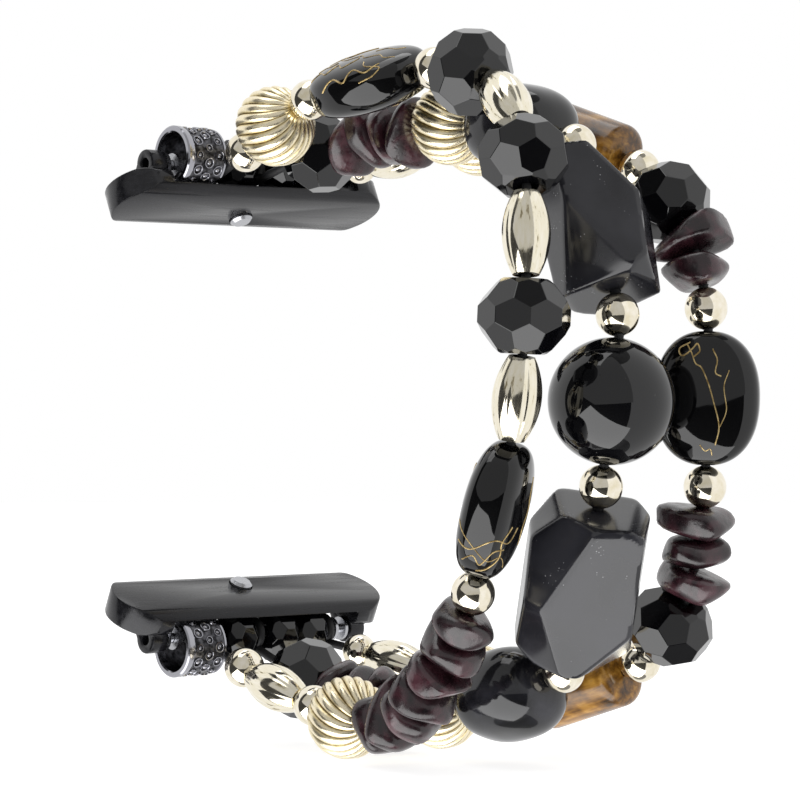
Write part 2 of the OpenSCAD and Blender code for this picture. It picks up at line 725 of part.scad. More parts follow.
module crystal_middle_upper() at_bead(middle_knots, 0) crystal();
module chips_middle_upper() chips(middle_knots, middle_beads, 0, middle_back);
module fluted_ball_middle_upper() at_bead(middle_knots, 5) fluted_ball();
module pebble_middle_upper() at_bead(middle_knots, 6) pebble();
module nugget_middle_upper() at_bead(middle_knots, 8) nugget(nugget_len, nugget_w, upper_ends);
module round_middle_back() at_bead(middle_knots, middle_back) round_bead();
module nugget_middle_lower() at_bead(middle_knots, 12) nugget(big_nugget_len, big_nugget_w, lower_ends);
module pebble_middle_lower() at_bead(middle_knots, 14) pebble();
module fluted_ball_middle_lower() at_bead(middle_knots, 15) fluted_ball();
module chips_middle_lower() chips(middle_knots, middle_beads, middle_back, len(middle_beads) - 1);
module crystal_middle_lower() at_bead(middle_knots, 20) crystal();

module rice_far_upper() at_bead(far_knots, 1) rice();
module fluted_ball_far_upper() at_bead(far_knots, 3) fluted_ball();
module tube_far_upper() at_bead(far_knots, 5) brown_tube();
module crystal_far_upper() at_bead(far_knots, 7) crystal();
module chips_far_upper() chips(far_knots, far_beads, 0, far_back);
module oval_far_back() at_bead(far_knots, far_back, far_oval_turn) oval();
module chips_far_lower() chips(far_knots, far_beads, far_back, len(far_beads) - 1);
module crystal_far_lower() at_bead(far_knots, 16) crystal();
module tube_far_lower() at_bead(far_knots, 18) brown_tube();
module fluted_ball_far_lower() at_bead(far_knots, 20) fluted_ball();
module rice_far_lower() at_bead(far_knots, 22) rice();

adapter_upper();
adapter_lower();
latch_button_upper();
latch_button_lower();
latch_spring_upper();
latch_spring_lower();
bar_barrel_upper();
bar_barrel_lower();
bar_tip_upper_left();
bar_tip_upper_right();
bar_tip_lower_left();
bar_tip_lower_right();
bar_spring_upper();
bar_spring_lower();
end_tube_upper();
end_tube_lower();
bar_crystals_upper();
bar_crystals_lower();
elastic_cords_upper();
elastic_cords_back();
elastic_cords_lower();
gold_balls_upper();
gold_balls_lower();
fluted_ball_near_upper();
oval_near_upper();
crystal_near_top();
crystal_near_shoulder();
crystal_near_back();
rice_near_top();
rice_near_shoulder();
crystal_middle_upper();
chips_middle_upper();
fluted_ball_middle_upper();
pebble_middle_upper();
nugget_middle_upper();
rice_far_upper();
fluted_ball_far_upper();
tube_far_upper();
crystal_far_upper();
chips_far_upper();
rice_near_back();
round_middle_back();
oval_far_back();
oval_near_lower();
chips_near_lower();
fluted_ball_near_lower();
rice_near_lower();
nugget_middle_lower();
pebble_middle_lower();
fluted_ball_middle_lower();
chips_middle_lower();
crystal_middle_lower();
chips_far_lower();
crystal_far_lower();
tube_far_lower();
fluted_ball_far_lower();
rice_far_lower();
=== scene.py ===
import json
import math

import bmesh
import bpy
from mathutils import Matrix, Vector


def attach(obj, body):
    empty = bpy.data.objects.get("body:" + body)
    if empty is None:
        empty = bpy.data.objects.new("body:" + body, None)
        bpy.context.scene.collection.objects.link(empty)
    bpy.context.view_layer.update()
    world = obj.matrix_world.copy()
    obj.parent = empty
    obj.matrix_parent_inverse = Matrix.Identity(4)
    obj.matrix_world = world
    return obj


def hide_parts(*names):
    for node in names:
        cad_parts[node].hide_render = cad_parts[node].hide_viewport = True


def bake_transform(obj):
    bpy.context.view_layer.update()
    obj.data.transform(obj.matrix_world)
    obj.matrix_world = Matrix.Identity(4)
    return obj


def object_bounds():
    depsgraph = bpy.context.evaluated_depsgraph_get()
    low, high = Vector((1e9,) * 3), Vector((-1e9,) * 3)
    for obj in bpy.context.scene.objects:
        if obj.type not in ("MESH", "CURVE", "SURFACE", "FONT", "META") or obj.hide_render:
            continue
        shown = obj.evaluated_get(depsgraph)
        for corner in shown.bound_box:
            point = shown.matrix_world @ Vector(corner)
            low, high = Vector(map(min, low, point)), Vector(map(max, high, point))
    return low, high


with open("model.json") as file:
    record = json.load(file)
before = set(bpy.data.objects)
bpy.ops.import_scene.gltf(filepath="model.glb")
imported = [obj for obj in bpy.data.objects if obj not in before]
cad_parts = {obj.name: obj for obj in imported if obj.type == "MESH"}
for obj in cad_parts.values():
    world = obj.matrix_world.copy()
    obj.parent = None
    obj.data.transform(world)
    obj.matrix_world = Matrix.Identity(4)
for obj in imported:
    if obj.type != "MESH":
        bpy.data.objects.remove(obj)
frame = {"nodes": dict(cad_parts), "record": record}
cad_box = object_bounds()
MM = 0.001

# The camera looks level at the near edge of the strap, from in front of its open side and to
# the left, so that the loop runs away to the right.
look = Vector((0.6428, 0.7660, 0))
across = Vector((0.7660, -0.6428, 0))
up = Vector((0, 0, 1))
camera_data = bpy.data.cameras.new("camera")
camera_data.sensor_width = 36
camera_data.lens = 146
camera_data.clip_start = 0.01
camera = bpy.data.objects.new("camera", camera_data)
bpy.context.scene.collection.objects.link(camera)
camera.matrix_world = Matrix((across, up, -look)).transposed().to_4x4()
camera.matrix_world.translation = Vector((-209.2, -273.5, 0.16)) * MM
bpy.context.scene.camera = camera
bpy.context.scene.view_settings.view_transform = "Standard"


# White paper lies under the strap, and its far edge is lost against the white tent. It is matt and
# evenly lit, so it only shows a soft shadow where the lowest beads stand on it. Only the camera
# sees it: polished beads mirror the tent that is made in the next section.
def linear(code):
    """Linear RGBA of an sRGB hex colour."""
    srgb = [int(code[i:i + 2], 16) / 255 for i in (1, 3, 5)]
    return [c / 12.92 if c <= 0.04045 else ((c + 0.055) / 1.055) ** 2.4 for c in srgb] + [1]


def add(tree, kind, links=None, stops=None, **settings):
    """One shader node with its settings, its inputs (values or sockets) and its ramp stops."""
    made = tree.nodes.new(kind)
    for name, value in settings.items():
        setattr(made, name, value)
    for name, value in (links or {}).items():
        if isinstance(value, bpy.types.NodeSocket):
            tree.links.new(value, made.inputs[name])
        else:
            made.inputs[name].default_value = value
    if stops:
        ramp = made.color_ramp
        while len(ramp.elements) < len(stops):
            ramp.elements.new(0.5)
        for element, (place, colour) in zip(ramp.elements, stops):
            element.position = place
            element.color = linear(colour)
    return made


def plain_tree(owner):
    """Empties the node tree of a material or the world."""
    owner.use_nodes = True
    owner.node_tree.nodes.clear()
    return owner.node_tree


paper_size = 0.8
paper_drop = 0.0002
paper_mesh = bpy.data.meshes.new("paper")
draft = bmesh.new()
bmesh.ops.create_circle(draft, cap_ends=True, segments=96, radius=paper_size)
draft.to_mesh(paper_mesh)
draft.free()
paper = bpy.data.objects.new("paper", paper_mesh)
bpy.context.scene.collection.objects.link(paper)
paper.location = (0, -0.02, cad_box[0][2] - paper_drop)
paper.visible_diffuse = paper.visible_glossy = paper.visible_transmission = paper.visible_shadow = False
paper_matt = bpy.data.materials.new("white_seamless_paper")
tree = plain_tree(paper_matt)
matt = add(tree, "ShaderNodeBsdfDiffuse", {"Color": linear("#bcbcbc")})
glow = add(tree, "ShaderNodeEmission", {"Color": (1, 1, 1, 1), "Strength": 0.8})
white = add(tree, "ShaderNodeAddShader", {0: matt.outputs[0], 1: glow.outputs[0]})
add(tree, "ShaderNodeOutputMaterial", {"Surface": white.outputs[0]})
paper_mesh.materials.append(paper_matt)

# A white tent lights the strap from all round. Dark cloth hangs in it from the right of the camera
# round to the left, and grey cloth closes it above and below. Two windows glow in front of the cloth,
# a dim one high and a bright one low. Polished beads show these edges; the camera looks through them.
world = bpy.data.worlds.new("white_tent")
bpy.context.scene.world = world
tree = plain_tree(world)
tent = add(tree, "ShaderNodeBackground", {"Color": (1, 1, 1, 1), "Strength": 1.0})
add(tree, "ShaderNodeOutputWorld", {"Surface": tent.outputs[0]})
middle = Vector((0.0, -0.02, 0.0))


def towards(x, z, y):
    """Direction from its parts across the view, up, and back towards the camera."""
    return (across * x + up * z - look * y).normalized()


def hang(name, rows, distance, stuff):
    """Panel over rows of directions from the strap, hidden from the camera."""
    draft = bmesh.new()
    made = [[draft.verts.new(middle + towards(*way) * distance) for way in row] for row in rows]
    for one, two in zip(made, made[1:]):
        for i in range(len(one) - 1):
            draft.faces.new((one[i], one[i + 1], two[i + 1], two[i]))
    mesh = bpy.data.meshes.new(name)
    draft.to_mesh(mesh)
    draft.free()
    mesh.materials.append(stuff)
    panel = bpy.data.objects.new(name, mesh)
    bpy.context.scene.collection.objects.link(panel)
    panel.visible_camera = False


def bearing(turn, rise):
    """Direction so many degrees round from the camera to the right, and so many up."""
    t, r = math.radians(turn), math.radians(rise)
    return (math.sin(t) * math.cos(r), math.sin(r), math.cos(t) * math.cos(r))


for name, code in (("black_cloth", "#4a4a4a"), ("grey_cloth", "#949494")):
    stuff = bpy.data.materials.new(name)
    tree = plain_tree(stuff)
    matt = add(tree, "ShaderNodeBsdfDiffuse", {"Color": linear(code)})
    add(tree, "ShaderNodeOutputMaterial", {"Surface": matt.outputs[0]})
black_cloth, grey_cloth = bpy.data.materials["black_cloth"], bpy.data.materials["grey_cloth"]
hang("front_cloth", [[bearing(t, r) for t in range(-95, 33)] for r in range(-88, 89, 8)], 1.6, black_cloth)
hang("cloth_above", [[bearing(t, r) for t in range(-180, 181, 6)] for r in (66, 74, 82, 89.9)], 1.5, grey_cloth)
hang("cloth_below", [[bearing(t, r) for t in range(-180, 181, 6)] for r in (-66, -74, -82, -89.9)], 1.5, grey_cloth)
# name, its lower left, lower right, upper left and upper right corners, strength
windows = [
    ("low_window", (-0.87, -0.49, 0.02), (-0.02, -1.0, -0.06), (-0.64, -0.12, 0.76), (0.48, -0.70, 0.53), 3.4),
    ("high_window", (-0.53, -0.10, 0.84), (0.58, -0.03, 0.81), (-0.92, 0.30, 0.26), (0.02, 1.0, 0.08), 0.55),
]
for name, a, b, c, d, strength in windows:
    stuff = bpy.data.materials.new(name)
    tree = plain_tree(stuff)
    glow = add(tree, "ShaderNodeEmission", {"Color": (1, 1, 1, 1), "Strength": strength})
    add(tree, "ShaderNodeOutputMaterial", {"Surface": glow.outputs[0]})
    hang(name, [[a, b], [c, d]], 1.3, stuff)

# One broad soft box hangs over the strap, a little behind it. It is a lamp behind white fabric, so
# its light has a soft edge, and it lifts the tops of the beads.
lamp_data = bpy.data.lights.new("soft_box_top", "AREA")
lamp_data.shape = "RECTANGLE"
lamp_data.size, lamp_data.size_y, lamp_data.energy = 0.60, 0.25, 0.9
lamp = bpy.data.objects.new("soft_box_top", lamp_data)
bpy.context.scene.collection.objects.link(lamp)
way = towards(-0.15, 0.98, -0.12)
lamp.location = middle + way * 0.6
lamp.rotation_euler = way.to_track_quat("Z", "Y").to_euler()


# Three elastic cords carry the beads. Each is black covered elastic 0.9 mm thick, looped round
# both spring bars. The points of a strand below are where one bead ends and the next begins, in mm.
near = [
    (-5.7, -4.62, 25), (-6.07, -8.1, 26.49), (-5.97, -15.12, 29.74), (-5.64, -18.85, 31.07),
    (-4.07, -32.05, 32.3), (-3.71, -36.05, 32.52), (-4.5, -43.13, 30.66), (-6.76, -49.66, 25.84),
    (-8.78, -52.76, 19.49), (-9.83, -53.81, 11.38), (-10.01, -53.53, 4.28), (-9.99, -51.99, -3.66),
    (-9.75, -47.31, -16.21), (-9.57, -45.29, -19.51), (-9.42, -43.69, -21.95),
    (-9.23, -41.92, -24.5), (-8.91, -39.67, -26.82), (-8.49, -37.13, -28.83),
    (-7.92, -34.22, -30.41), (-7.19, -31.03, -31.36), (-6.73, -27.79, -31.65),
    (-6.22, -20.02, -30.93), (-6.22, -16.24, -30.16), (-6.57, -8.4, -28.14), (-5.8, -4.82, -26.8),
]
centre = [
    (1.05, -5.71, 25.4), (2.5, -12.52, 26.59), (2.71, -15.67, 27), (2.62, -18.7, 27.29),
    (2.64, -21.69, 27.51), (2.81, -24.63, 27.61), (3.38, -32.35, 27.82), (3.79, -44.15, 25.76),
    (3.68, -47.59, 23.42), (1.84, -53.52, 10.11), (1.33, -54.47, 6.21), (0.88, -52.89, -6.12),
    (1.19, -51.79, -9.85), (3.42, -46.29, -24.84), (3.58, -42.78, -27.06), (2.97, -31.35, -30.29),
    (2.39, -23.6, -30.9), (2.1, -20.64, -30.85), (1.78, -17.71, -30.71), (1.43, -14.74, -30.46),
    (1.04, -11.65, -29.96), (0.05, -5, -27.8),
]
far = [
    (9.45, -4.31, 24.8), (9.96, -7.58, 25.16), (11.01, -15.31, 26.51), (11.47, -18.59, 27.08),
    (12.97, -26.14, 27.74), (14.06, -29.62, 27.96), (15.62, -40.86, 24.02), (15.57, -44.17, 21.81),
    (14.66, -49.77, 17.09), (14.41, -51.65, 14.08), (14.3, -52.74, 10.96), (14.39, -53.23, 7.01),
    (14.59, -52.69, -6.31), (14.87, -52.22, -10.15), (15.02, -51.48, -13.04),
    (15.15, -50.66, -15.93), (15.31, -49.4, -19.15), (15.74, -44.34, -24.73),
    (15.47, -40.78, -26.77), (14.21, -29.53, -30.39), (13.47, -26, -29.94), (11.54, -18.7, -28.71),
    (10.85, -15.43, -28.25), (9.74, -7.67, -26.82), (9.45, -4.4, -26.3),
]
bar_z = 24.55
body_of = {n: b for b, members in frame["record"]["behaviour"]["bodies"].items() for n in members}


def skin(draft, rings, closed=True):
    """Adds quads over rings of points in mm; a closed skin joins its last ring to its first."""
    made = [[draft.verts.new(Vector(p) * MM) for p in ring] for ring in rings]
    pairs = list(zip(made, made[1:] + made[:1])) if closed else list(zip(made, made[1:]))
    for one, two in pairs:
        for i in range(len(one)):
            j = (i + 1) % len(one)
            draft.faces.new((one[i], one[j], two[j], two[i]))
    if not closed:
        draft.faces.new(made[0][::-1])
        draft.faces.new(made[-1])


def finished(name, draft, stuffs, crease=35):
    """Turns a draft into a mesh, smooth except over edges sharper than the crease in degrees."""
    bmesh.ops.recalc_face_normals(draft, faces=draft.faces)
    for face in draft.faces:
        face.smooth = True
    for edge in draft.edges:
        edge.smooth = edge.calc_face_angle(0) < math.radians(crease)
    mesh = bpy.data.meshes.new(name)
    draft.to_mesh(mesh)
    draft.free()
    for stuff in stuffs:
        mesh.materials.append(stuff)
    return mesh


def piece(name, mesh, stands_for, body=None, place=None):
    """One piece of the strap in its place, riding on a body in place of its plain solid."""
    made = bpy.data.objects.new(name, mesh)
    bpy.context.scene.collection.objects.link(made)
    if place:
        made.matrix_world = place
    if body:
        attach(made, body)
    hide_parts(stands_for)
    return made


def tube_rings(line, r, sides=16):
    """Rings of a round cord along a line of points."""
    rings = []
    for i, p in enumerate(line):
        way = (line[min(i + 1, len(line) - 1)] - line[max(i - 1, 0)]).normalized()
        u = (Vector((1, 0, 0)) - way.x * way).normalized()
        v = way.cross(u)
        rings.append([p + r * (math.cos(t) * u + math.sin(t) * v)
                      for t in [2 * math.pi * k / sides for k in range(sides)]])
    return rings


def eased(line, pace=6):
    """The same line with its corners rounded."""
    p = [2 * line[0] - line[1]] + line + [2 * line[-1] - line[-2]]
    out = []
    for i in range(1, len(line)):
        a, b, c, d = p[i - 1:i + 3]
        for t in [k / pace for k in range(pace)]:
            out.append(b + 0.5 * t * (c - a + t * (2 * a - 5 * b + 4 * c - d + t * (3 * (b - c) + d - a))))
    return out + [line[-1]]


elastic = bpy.data.materials.new("covered_black_elastic")
# Braided nylon cover: matt black with a faint cross weave.
tree = plain_tree(elastic)
spot = add(tree, "ShaderNodeTexCoord")
braid = add(tree, "ShaderNodeTexNoise", {"Vector": spot.outputs["Object"], "Scale": 1 / (0.15 * MM)})
weave = add(tree, "ShaderNodeBump", {"Height": braid.outputs["Fac"], "Strength": 0.4, "Distance": 0.03 * MM})
shine = add(tree, "ShaderNodeBsdfPrincipled", {"Base Color": linear("#161618"), "Roughness": 0.6,
                                               "Normal": weave.outputs["Normal"]})
add(tree, "ShaderNodeOutputMaterial", {"Surface": shine.outputs[0]})

cord_r = 0.45
loop_r = 1.3
# strand, its place along the bars, first knot of the back
cords = [(near, -5.4, 10), (centre, 0.05, 10), (far, 9.45, 11)]


def loop(x, z, knot):
    """Points of the open loop round a bar, ending where it leaves for the first bead."""
    far_off = math.hypot(knot.y, knot.z - z)
    start = math.atan2(knot.z - z, knot.y) + math.acos(loop_r / far_off)
    return [Vector((x, loop_r * math.cos(start + a), z + loop_r * math.sin(start + a)))
            for a in [math.radians(10 * k) for k in range(31, -1, -1)]]


for end, order in (("upper", 1), ("lower", -1)):
    arm, joins = bmesh.new(), bmesh.new()
    for strand, x, back in cords:
        line = [Vector(p) for p in strand][::order]
        turn = back if order == 1 else len(strand) - back - 2
        inside = (line[turn - 1] + line[turn]) / 2
        beyond = (line[turn] + line[turn + 1]) / 2
        lead = loop(x, bar_z * order, line[0])
        skin(arm, tube_rings(lead + eased(line[:turn] + [inside])[1:], cord_r), closed=False)
        stretch = [inside.lerp(line[turn], k / 6) for k in range(6)]
        stretch += [line[turn].lerp(beyond, k / 6) for k in range(7)]
        skin(joins, tube_rings(stretch, cord_r), closed=False)
    piece("cords_" + end, finished("cords_" + end, arm, [elastic]),
          "elastic_cords_" + end, end + "_arm")
    join = piece("cord_joins_" + end, finished("cord_joins_" + end, joins, [elastic]),
                 "elastic_cords_back")
    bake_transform(join)


# A slide-in adapter ends each side of the strap. It is a cast steel tongue with two ears for the
# spring bar, its edges eased in the polishing, with a hard black coating.
adapter_coat = bpy.data.materials.new("black_coated_polished_steel")
# Near black with tight reflections, a little blurred in hairline rubs along the tongue.
tree = plain_tree(adapter_coat)
spot = add(tree, "ShaderNodeTexCoord")
long_way = add(tree, "ShaderNodeMapping", {"Vector": spot.outputs["Object"], "Scale": (0.06, 1, 1)})
rubs = add(tree, "ShaderNodeTexNoise", {"Vector": long_way.outputs["Vector"], "Scale": 1 / (0.4 * MM),
                                        "Detail": 4})
rough = add(tree, "ShaderNodeMapRange", {"Value": rubs.outputs["Fac"], "From Min": 0.35, "From Max": 0.7,
                                         "To Min": 0.16, "To Max": 0.32})
tone = add(tree, "ShaderNodeValToRGB", {"Fac": rubs.outputs["Fac"]}, stops=[(0.3, "#121215"), (0.8, "#232327")])
shine = add(tree, "ShaderNodeBsdfPrincipled", {"Base Color": tone.outputs["Color"], "Metallic": 0.3,
                                               "Roughness": rough.outputs["Result"]})
add(tree, "ShaderNodeOutputMaterial", {"Surface": shine.outputs[0]})

eased_edge = 0.14
for end in ("upper", "lower"):
    draft = bmesh.new()
    draft.from_mesh(frame["nodes"]["adapter_" + end].data)
    bmesh.ops.remove_doubles(draft, verts=draft.verts, dist=0.002 * MM)
    bmesh.ops.dissolve_limit(draft, angle_limit=math.radians(1), verts=draft.verts, edges=draft.edges)
    sharp = [e for e in draft.edges if len(e.link_faces) == 2 and e.calc_face_angle(0) > math.radians(35)]
    bmesh.ops.bevel(draft, geom=sharp, offset=eased_edge * MM, segments=2, affect="EDGES", profile=0.5)
    piece("coated_adapter_" + end, finished("coated_adapter_" + end, draft, [adapter_coat], 40),
          "adapter_" + end, body_of["adapter_" + end])


# Latch buttons and their springs, and the spring bars with their tips and springs, are turned and
# drawn stainless steel left bright. The bars snap into the ears of the adapters.
bare_steel = bpy.data.materials.new("turned_stainless_steel")
# Fine turning lines blur the reflections a little.
tree = plain_tree(bare_steel)
spot = add(tree, "ShaderNodeTexCoord")
turning = add(tree, "ShaderNodeTexNoise", {"Vector": spot.outputs["Object"], "Scale": 1 / (0.2 * MM), "Detail": 3})
rough = add(tree, "ShaderNodeMapRange", {"Value": turning.outputs["Fac"], "To Min": 0.18, "To Max": 0.34})
shine = add(tree, "ShaderNodeBsdfPrincipled", {"Base Color": linear("#b4b5b9"), "Metallic": 1,
                                               "Roughness": rough.outputs["Result"]})
add(tree, "ShaderNodeOutputMaterial", {"Surface": shine.outputs[0]})
for end in ("upper", "lower"):
    steel = ["latch_button_" + end, "latch_spring_" + end, "bar_barrel_" + end, "bar_spring_" + end,
             "bar_tip_" + end + "_left", "bar_tip_" + end + "_right"]
    for name in steel:
        frame["nodes"][name].data.materials.clear()
        frame["nodes"][name].data.materials.append(bare_steel)


# End tubes fill the near end of each bar. They are cast zinc plated in gunmetal, with a polished
# rim at the open end and rows of raised rings with a dot in each, blackened in their hollows.
end_tube_r = 3.15
end_tube_bore_r = 2.5
end_tube_len = 5.0
end_tube_x = -11.2
end_tube_hang = (-0.69, -0.92)
rim_len = 0.9
wall_r = 2.93
dot_rows = (1.5, 2.75, 4.0)
dots_round = 12

gunmetal = bpy.data.materials.new("polished_gunmetal_plating")
# Mirror grey metal with small casting waves.
tree = plain_tree(gunmetal)
spot = add(tree, "ShaderNodeTexCoord")
waves = add(tree, "ShaderNodeTexNoise", {"Vector": spot.outputs["Object"], "Scale": 1 / (1.1 * MM), "Detail": 2})
cast = add(tree, "ShaderNodeBump", {"Height": waves.outputs["Fac"], "Strength": 0.25, "Distance": 0.08 * MM})
shine = add(tree, "ShaderNodeBsdfPrincipled", {"Base Color": linear("#a5a5ab"), "Metallic": 1,
                                               "Roughness": 0.16, "Normal": cast.outputs["Normal"]})
add(tree, "ShaderNodeOutputMaterial", {"Surface": shine.outputs[0]})
blackened = bpy.data.materials.new("blackened_gunmetal")
# The same plating left dark between the rings, where the polishing wheel doesn't reach.
tree = plain_tree(blackened)
spot = add(tree, "ShaderNodeTexCoord")
grime = add(tree, "ShaderNodeTexNoise", {"Vector": spot.outputs["Object"], "Scale": 1 / (0.5 * MM), "Detail": 3})
tone = add(tree, "ShaderNodeValToRGB", {"Fac": grime.outputs["Fac"]}, stops=[(0.35, "#242426"), (0.7, "#6b6b70")])
shine = add(tree, "ShaderNodeBsdfPrincipled", {"Base Color": tone.outputs["Color"], "Metallic": 0.9,
                                               "Roughness": 0.34})
add(tree, "ShaderNodeOutputMaterial", {"Surface": shine.outputs[0]})


def turned(draft, profile, sides=64):
    """Adds a ring turned about Z from a closed profile of (radius, height) in mm."""
    turns = [2 * math.pi * k / sides for k in range(sides)]
    skin(draft, [[(r * math.cos(t), r * math.sin(t), z) for t in turns] for r, z in profile])


def ring_dot(draft, angle, z, r, out=wall_r):
    """Raised ring with a dot in it on the wall of an end tube."""
    place = Matrix.Rotation(angle, 4, "Z") @ Matrix.Translation(Vector((out - 0.02, 0, z)) * MM)
    place = place @ Matrix.Rotation(math.radians(90), 4, "Y")
    before = len(draft.verts)
    wire = 0.22 * r
    turns = [2 * math.pi * k / 20 for k in range(20)]
    ring = [(r - wire, 0), (r - wire, 0.1), (r - 0.6 * wire, 0.17), (r - 0.1 * wire, 0.17), (r, 0.1), (r, 0)]
    skin(draft, [[(q * math.cos(t), q * math.sin(t), h) for t in turns] for q, h in ring])
    dot = [(0.44 * r, -0.05), (0.42 * r, 0.07), (0.3 * r, 0.15), (0.1 * r, 0.19)]
    skin(draft, [[(q * math.cos(t), q * math.sin(t), h) for t in turns] for q, h in dot], closed=False)
    draft.verts.ensure_lookup_table()
    bmesh.ops.transform(draft, matrix=place, verts=draft.verts[before:])


for end, order in (("upper", 1), ("lower", -1)):
    place = Matrix.Translation(Vector((end_tube_x, end_tube_hang[0],
                                       order * (bar_z - end_tube_hang[1]))) * MM)
    place = place @ Matrix.Rotation(math.radians(90), 4, "Y")
    rim, wall = bmesh.new(), bmesh.new()
    turned(rim, [(end_tube_bore_r, 0.15), (2.62, 0), (3.0, 0), (end_tube_r, 0.14), (end_tube_r, 0.7),
                 (3.02, rim_len), (end_tube_bore_r, rim_len)])
    for row, z in enumerate(dot_rows):
        for i in range(dots_round):
            ring_dot(rim, 2 * math.pi * (i + row / 2) / dots_round, z, 0.56 if (i + row) % 3 else 0.42)
    turned(rim, [(2.78, end_tube_len - 0.32), (wall_r + 0.06, end_tube_len - 0.3),
                 (wall_r + 0.06, end_tube_len - 0.08), (wall_r - 0.05, end_tube_len), (2.78, end_tube_len)])
    turned(wall, [(end_tube_bore_r, rim_len), (wall_r, rim_len), (wall_r, end_tube_len - 0.3),
                  (end_tube_bore_r, end_tube_len - 0.3)])
    name = "end_tube_" + end
    piece(name + "_polished", finished(name + "_polished", rim, [gunmetal]), name,
          body_of[name], place)
    piece(name + "_wall", finished(name + "_wall", wall, [blackened]), name,
          body_of[name], place)


# Cut glass rondelles: seven on the strands and three small ones on each bar. They are opaque black
# glass with machine-cut, fire-polished facets, threaded through their two flat tables.
cut_glass = bpy.data.materials.new("cut_black_glass")
# Flat mirrors of different greys, each with a faint film of handling.
tree = plain_tree(cut_glass)
spot = add(tree, "ShaderNodeTexCoord")
film = add(tree, "ShaderNodeTexNoise", {"Vector": spot.outputs["Object"], "Scale": 1 / (1.6 * MM), "Detail": 4})
rough = add(tree, "ShaderNodeMapRange", {"Value": film.outputs["Fac"], "From Min": 0.4, "From Max": 0.75,
                                         "To Min": 0.02, "To Max": 0.1})
shine = add(tree, "ShaderNodeBsdfPrincipled", {"Base Color": linear("#060608"), "IOR": 1.56,
                                               "Roughness": rough.outputs["Result"]})
add(tree, "ShaderNodeOutputMaterial", {"Surface": shine.outputs[0]})


def seat(strand, i, turn=0):
    """Place of a bead between two knots: its bore along the cord, its width along the bars."""
    a, b = Vector(strand[i]), Vector(strand[i + 1])
    w = (b - a).normalized()
    u = (Vector((1, 0, 0)) - w.x * w).normalized()
    place = Matrix((u, w.cross(u), w)).transposed().to_4x4()
    place.translation = (a + b) / 2 * MM
    return place @ Matrix.Rotation(math.radians(turn), 4, "Z")


def cut(planes, rough_size=40):
    """Convex stone left by flat cuts: each is its turn round the bore, its lean and its distance."""
    draft = bmesh.new()
    bmesh.ops.create_cube(draft, size=rough_size * MM)
    for turn, lean, distance in planes:
        t, l = math.radians(turn), math.radians(lean)
        way = Vector((math.cos(t) * math.cos(l), math.sin(t) * math.cos(l), math.sin(l)))
        gone = bmesh.ops.bisect_plane(draft, geom=draft.verts[:] + draft.edges[:] + draft.faces[:],
                                      plane_co=way * distance * MM, plane_no=way, clear_outer=True)
        rim = [e for e in gone["geom_cut"] if isinstance(e, bmesh.types.BMEdge)]
        if rim:
            bmesh.ops.edgeloop_fill(draft, edges=rim)
    return draft


def bore(draft, r, sides=24):
    """Drills a stone along Z, from one flat table to the other."""
    draft.normal_update()
    mouths = []
    for table in [f for f in draft.faces if abs(f.normal.z) > 0.9999]:
        z = table.calc_center_median().z
        ring = [draft.verts.new((r * MM * math.cos(2 * math.pi * k / sides),
                                 r * MM * math.sin(2 * math.pi * k / sides), z)) for k in range(sides)]
        edge = [draft.edges.new((ring[k - 1], ring[k])) for k in range(sides)]
        around = list(table.edges)
        bmesh.ops.delete(draft, geom=[table], context="FACES_ONLY")
        bmesh.ops.triangle_fill(draft, use_beauty=True, edges=around + edge)
        mouths.append(ring)
    for k in range(sides):
        draft.faces.new((mouths[0][k - 1], mouths[0][k], mouths[1][k], mouths[1][k - 1]))


def rondelle(d, l, bore_r, arris):
    """Cut rondelle with a girdle of flats, a crown and a shoulder row on each side and two tables."""
    eighth = [45 * i for i in range(8)]
    planes = [(t, 0, 0.482 * d) for t in eighth]
    for side in (-1, 1):
        planes += [(t + 22.5, side * 38, 0.465 * d) for t in eighth]
        planes += [(t, side * 62, 0.215 * d + 0.31 * l) for t in eighth]
        planes += [(0, side * 90, l / 2)]
    draft = cut(planes)
    bmesh.ops.bevel(draft, geom=draft.edges[:], offset=arris * MM, segments=1, affect="EDGES", profile=0.5)
    bore(draft, bore_r)
    return draft


# rondelles: width, length, radius of the bore, and of the fire-polished arris between facets
strung_crystal = finished("rondelle_8mm", rondelle(8.3, 6.95, 0.8, 0.04), [cut_glass], 1)
# piece, strand, place in it, turn round the cord
for name, strand, i, turn in [
        ("crystal_near_top", near, 5, 8), ("crystal_near_shoulder", near, 7, 0), ("crystal_near_back", near, 9, 12),
        ("crystal_middle_upper", centre, 0, 0), ("crystal_middle_lower", centre, 20, 6),
        ("crystal_far_upper", far, 7, 15), ("crystal_far_lower", far, 16, 20)]:
    piece("cut_" + name, strung_crystal, name, body_of[name], seat(strand, i, turn))

bar_crystal = finished("rondelle_6mm", rondelle(5.6, 3.85, 1.2, 0.03), [cut_glass], 1)
bar_crystal_x = (-2.675, 2.775, 6.725)
bar_crystal_hang = (-0.21, -0.28)
for end, order in (("upper", 1), ("lower", -1)):
    for i, x in enumerate(bar_crystal_x):
        place = Matrix.Translation(Vector((x, bar_crystal_hang[0], order * (bar_z - bar_crystal_hang[1]))) * MM)
        place = place @ Matrix.Rotation(math.radians(90), 4, "Y") @ Matrix.Rotation(math.radians(7 * i), 4, "Z")
        piece("cut_bar_crystal_%s_%d" % (end, i), bar_crystal, "bar_crystals_" + end,
              body_of["bar_crystals_" + end], place)


# Plain gold balls part the beads of every strand: pressed brass with a bright pale gold plating,
# 4 mm across and 3.6 mm at the ends of the far strand, drilled through.
bead_bore = 0.55
gold_plate = bpy.data.materials.new("polished_pale_gold_plating")
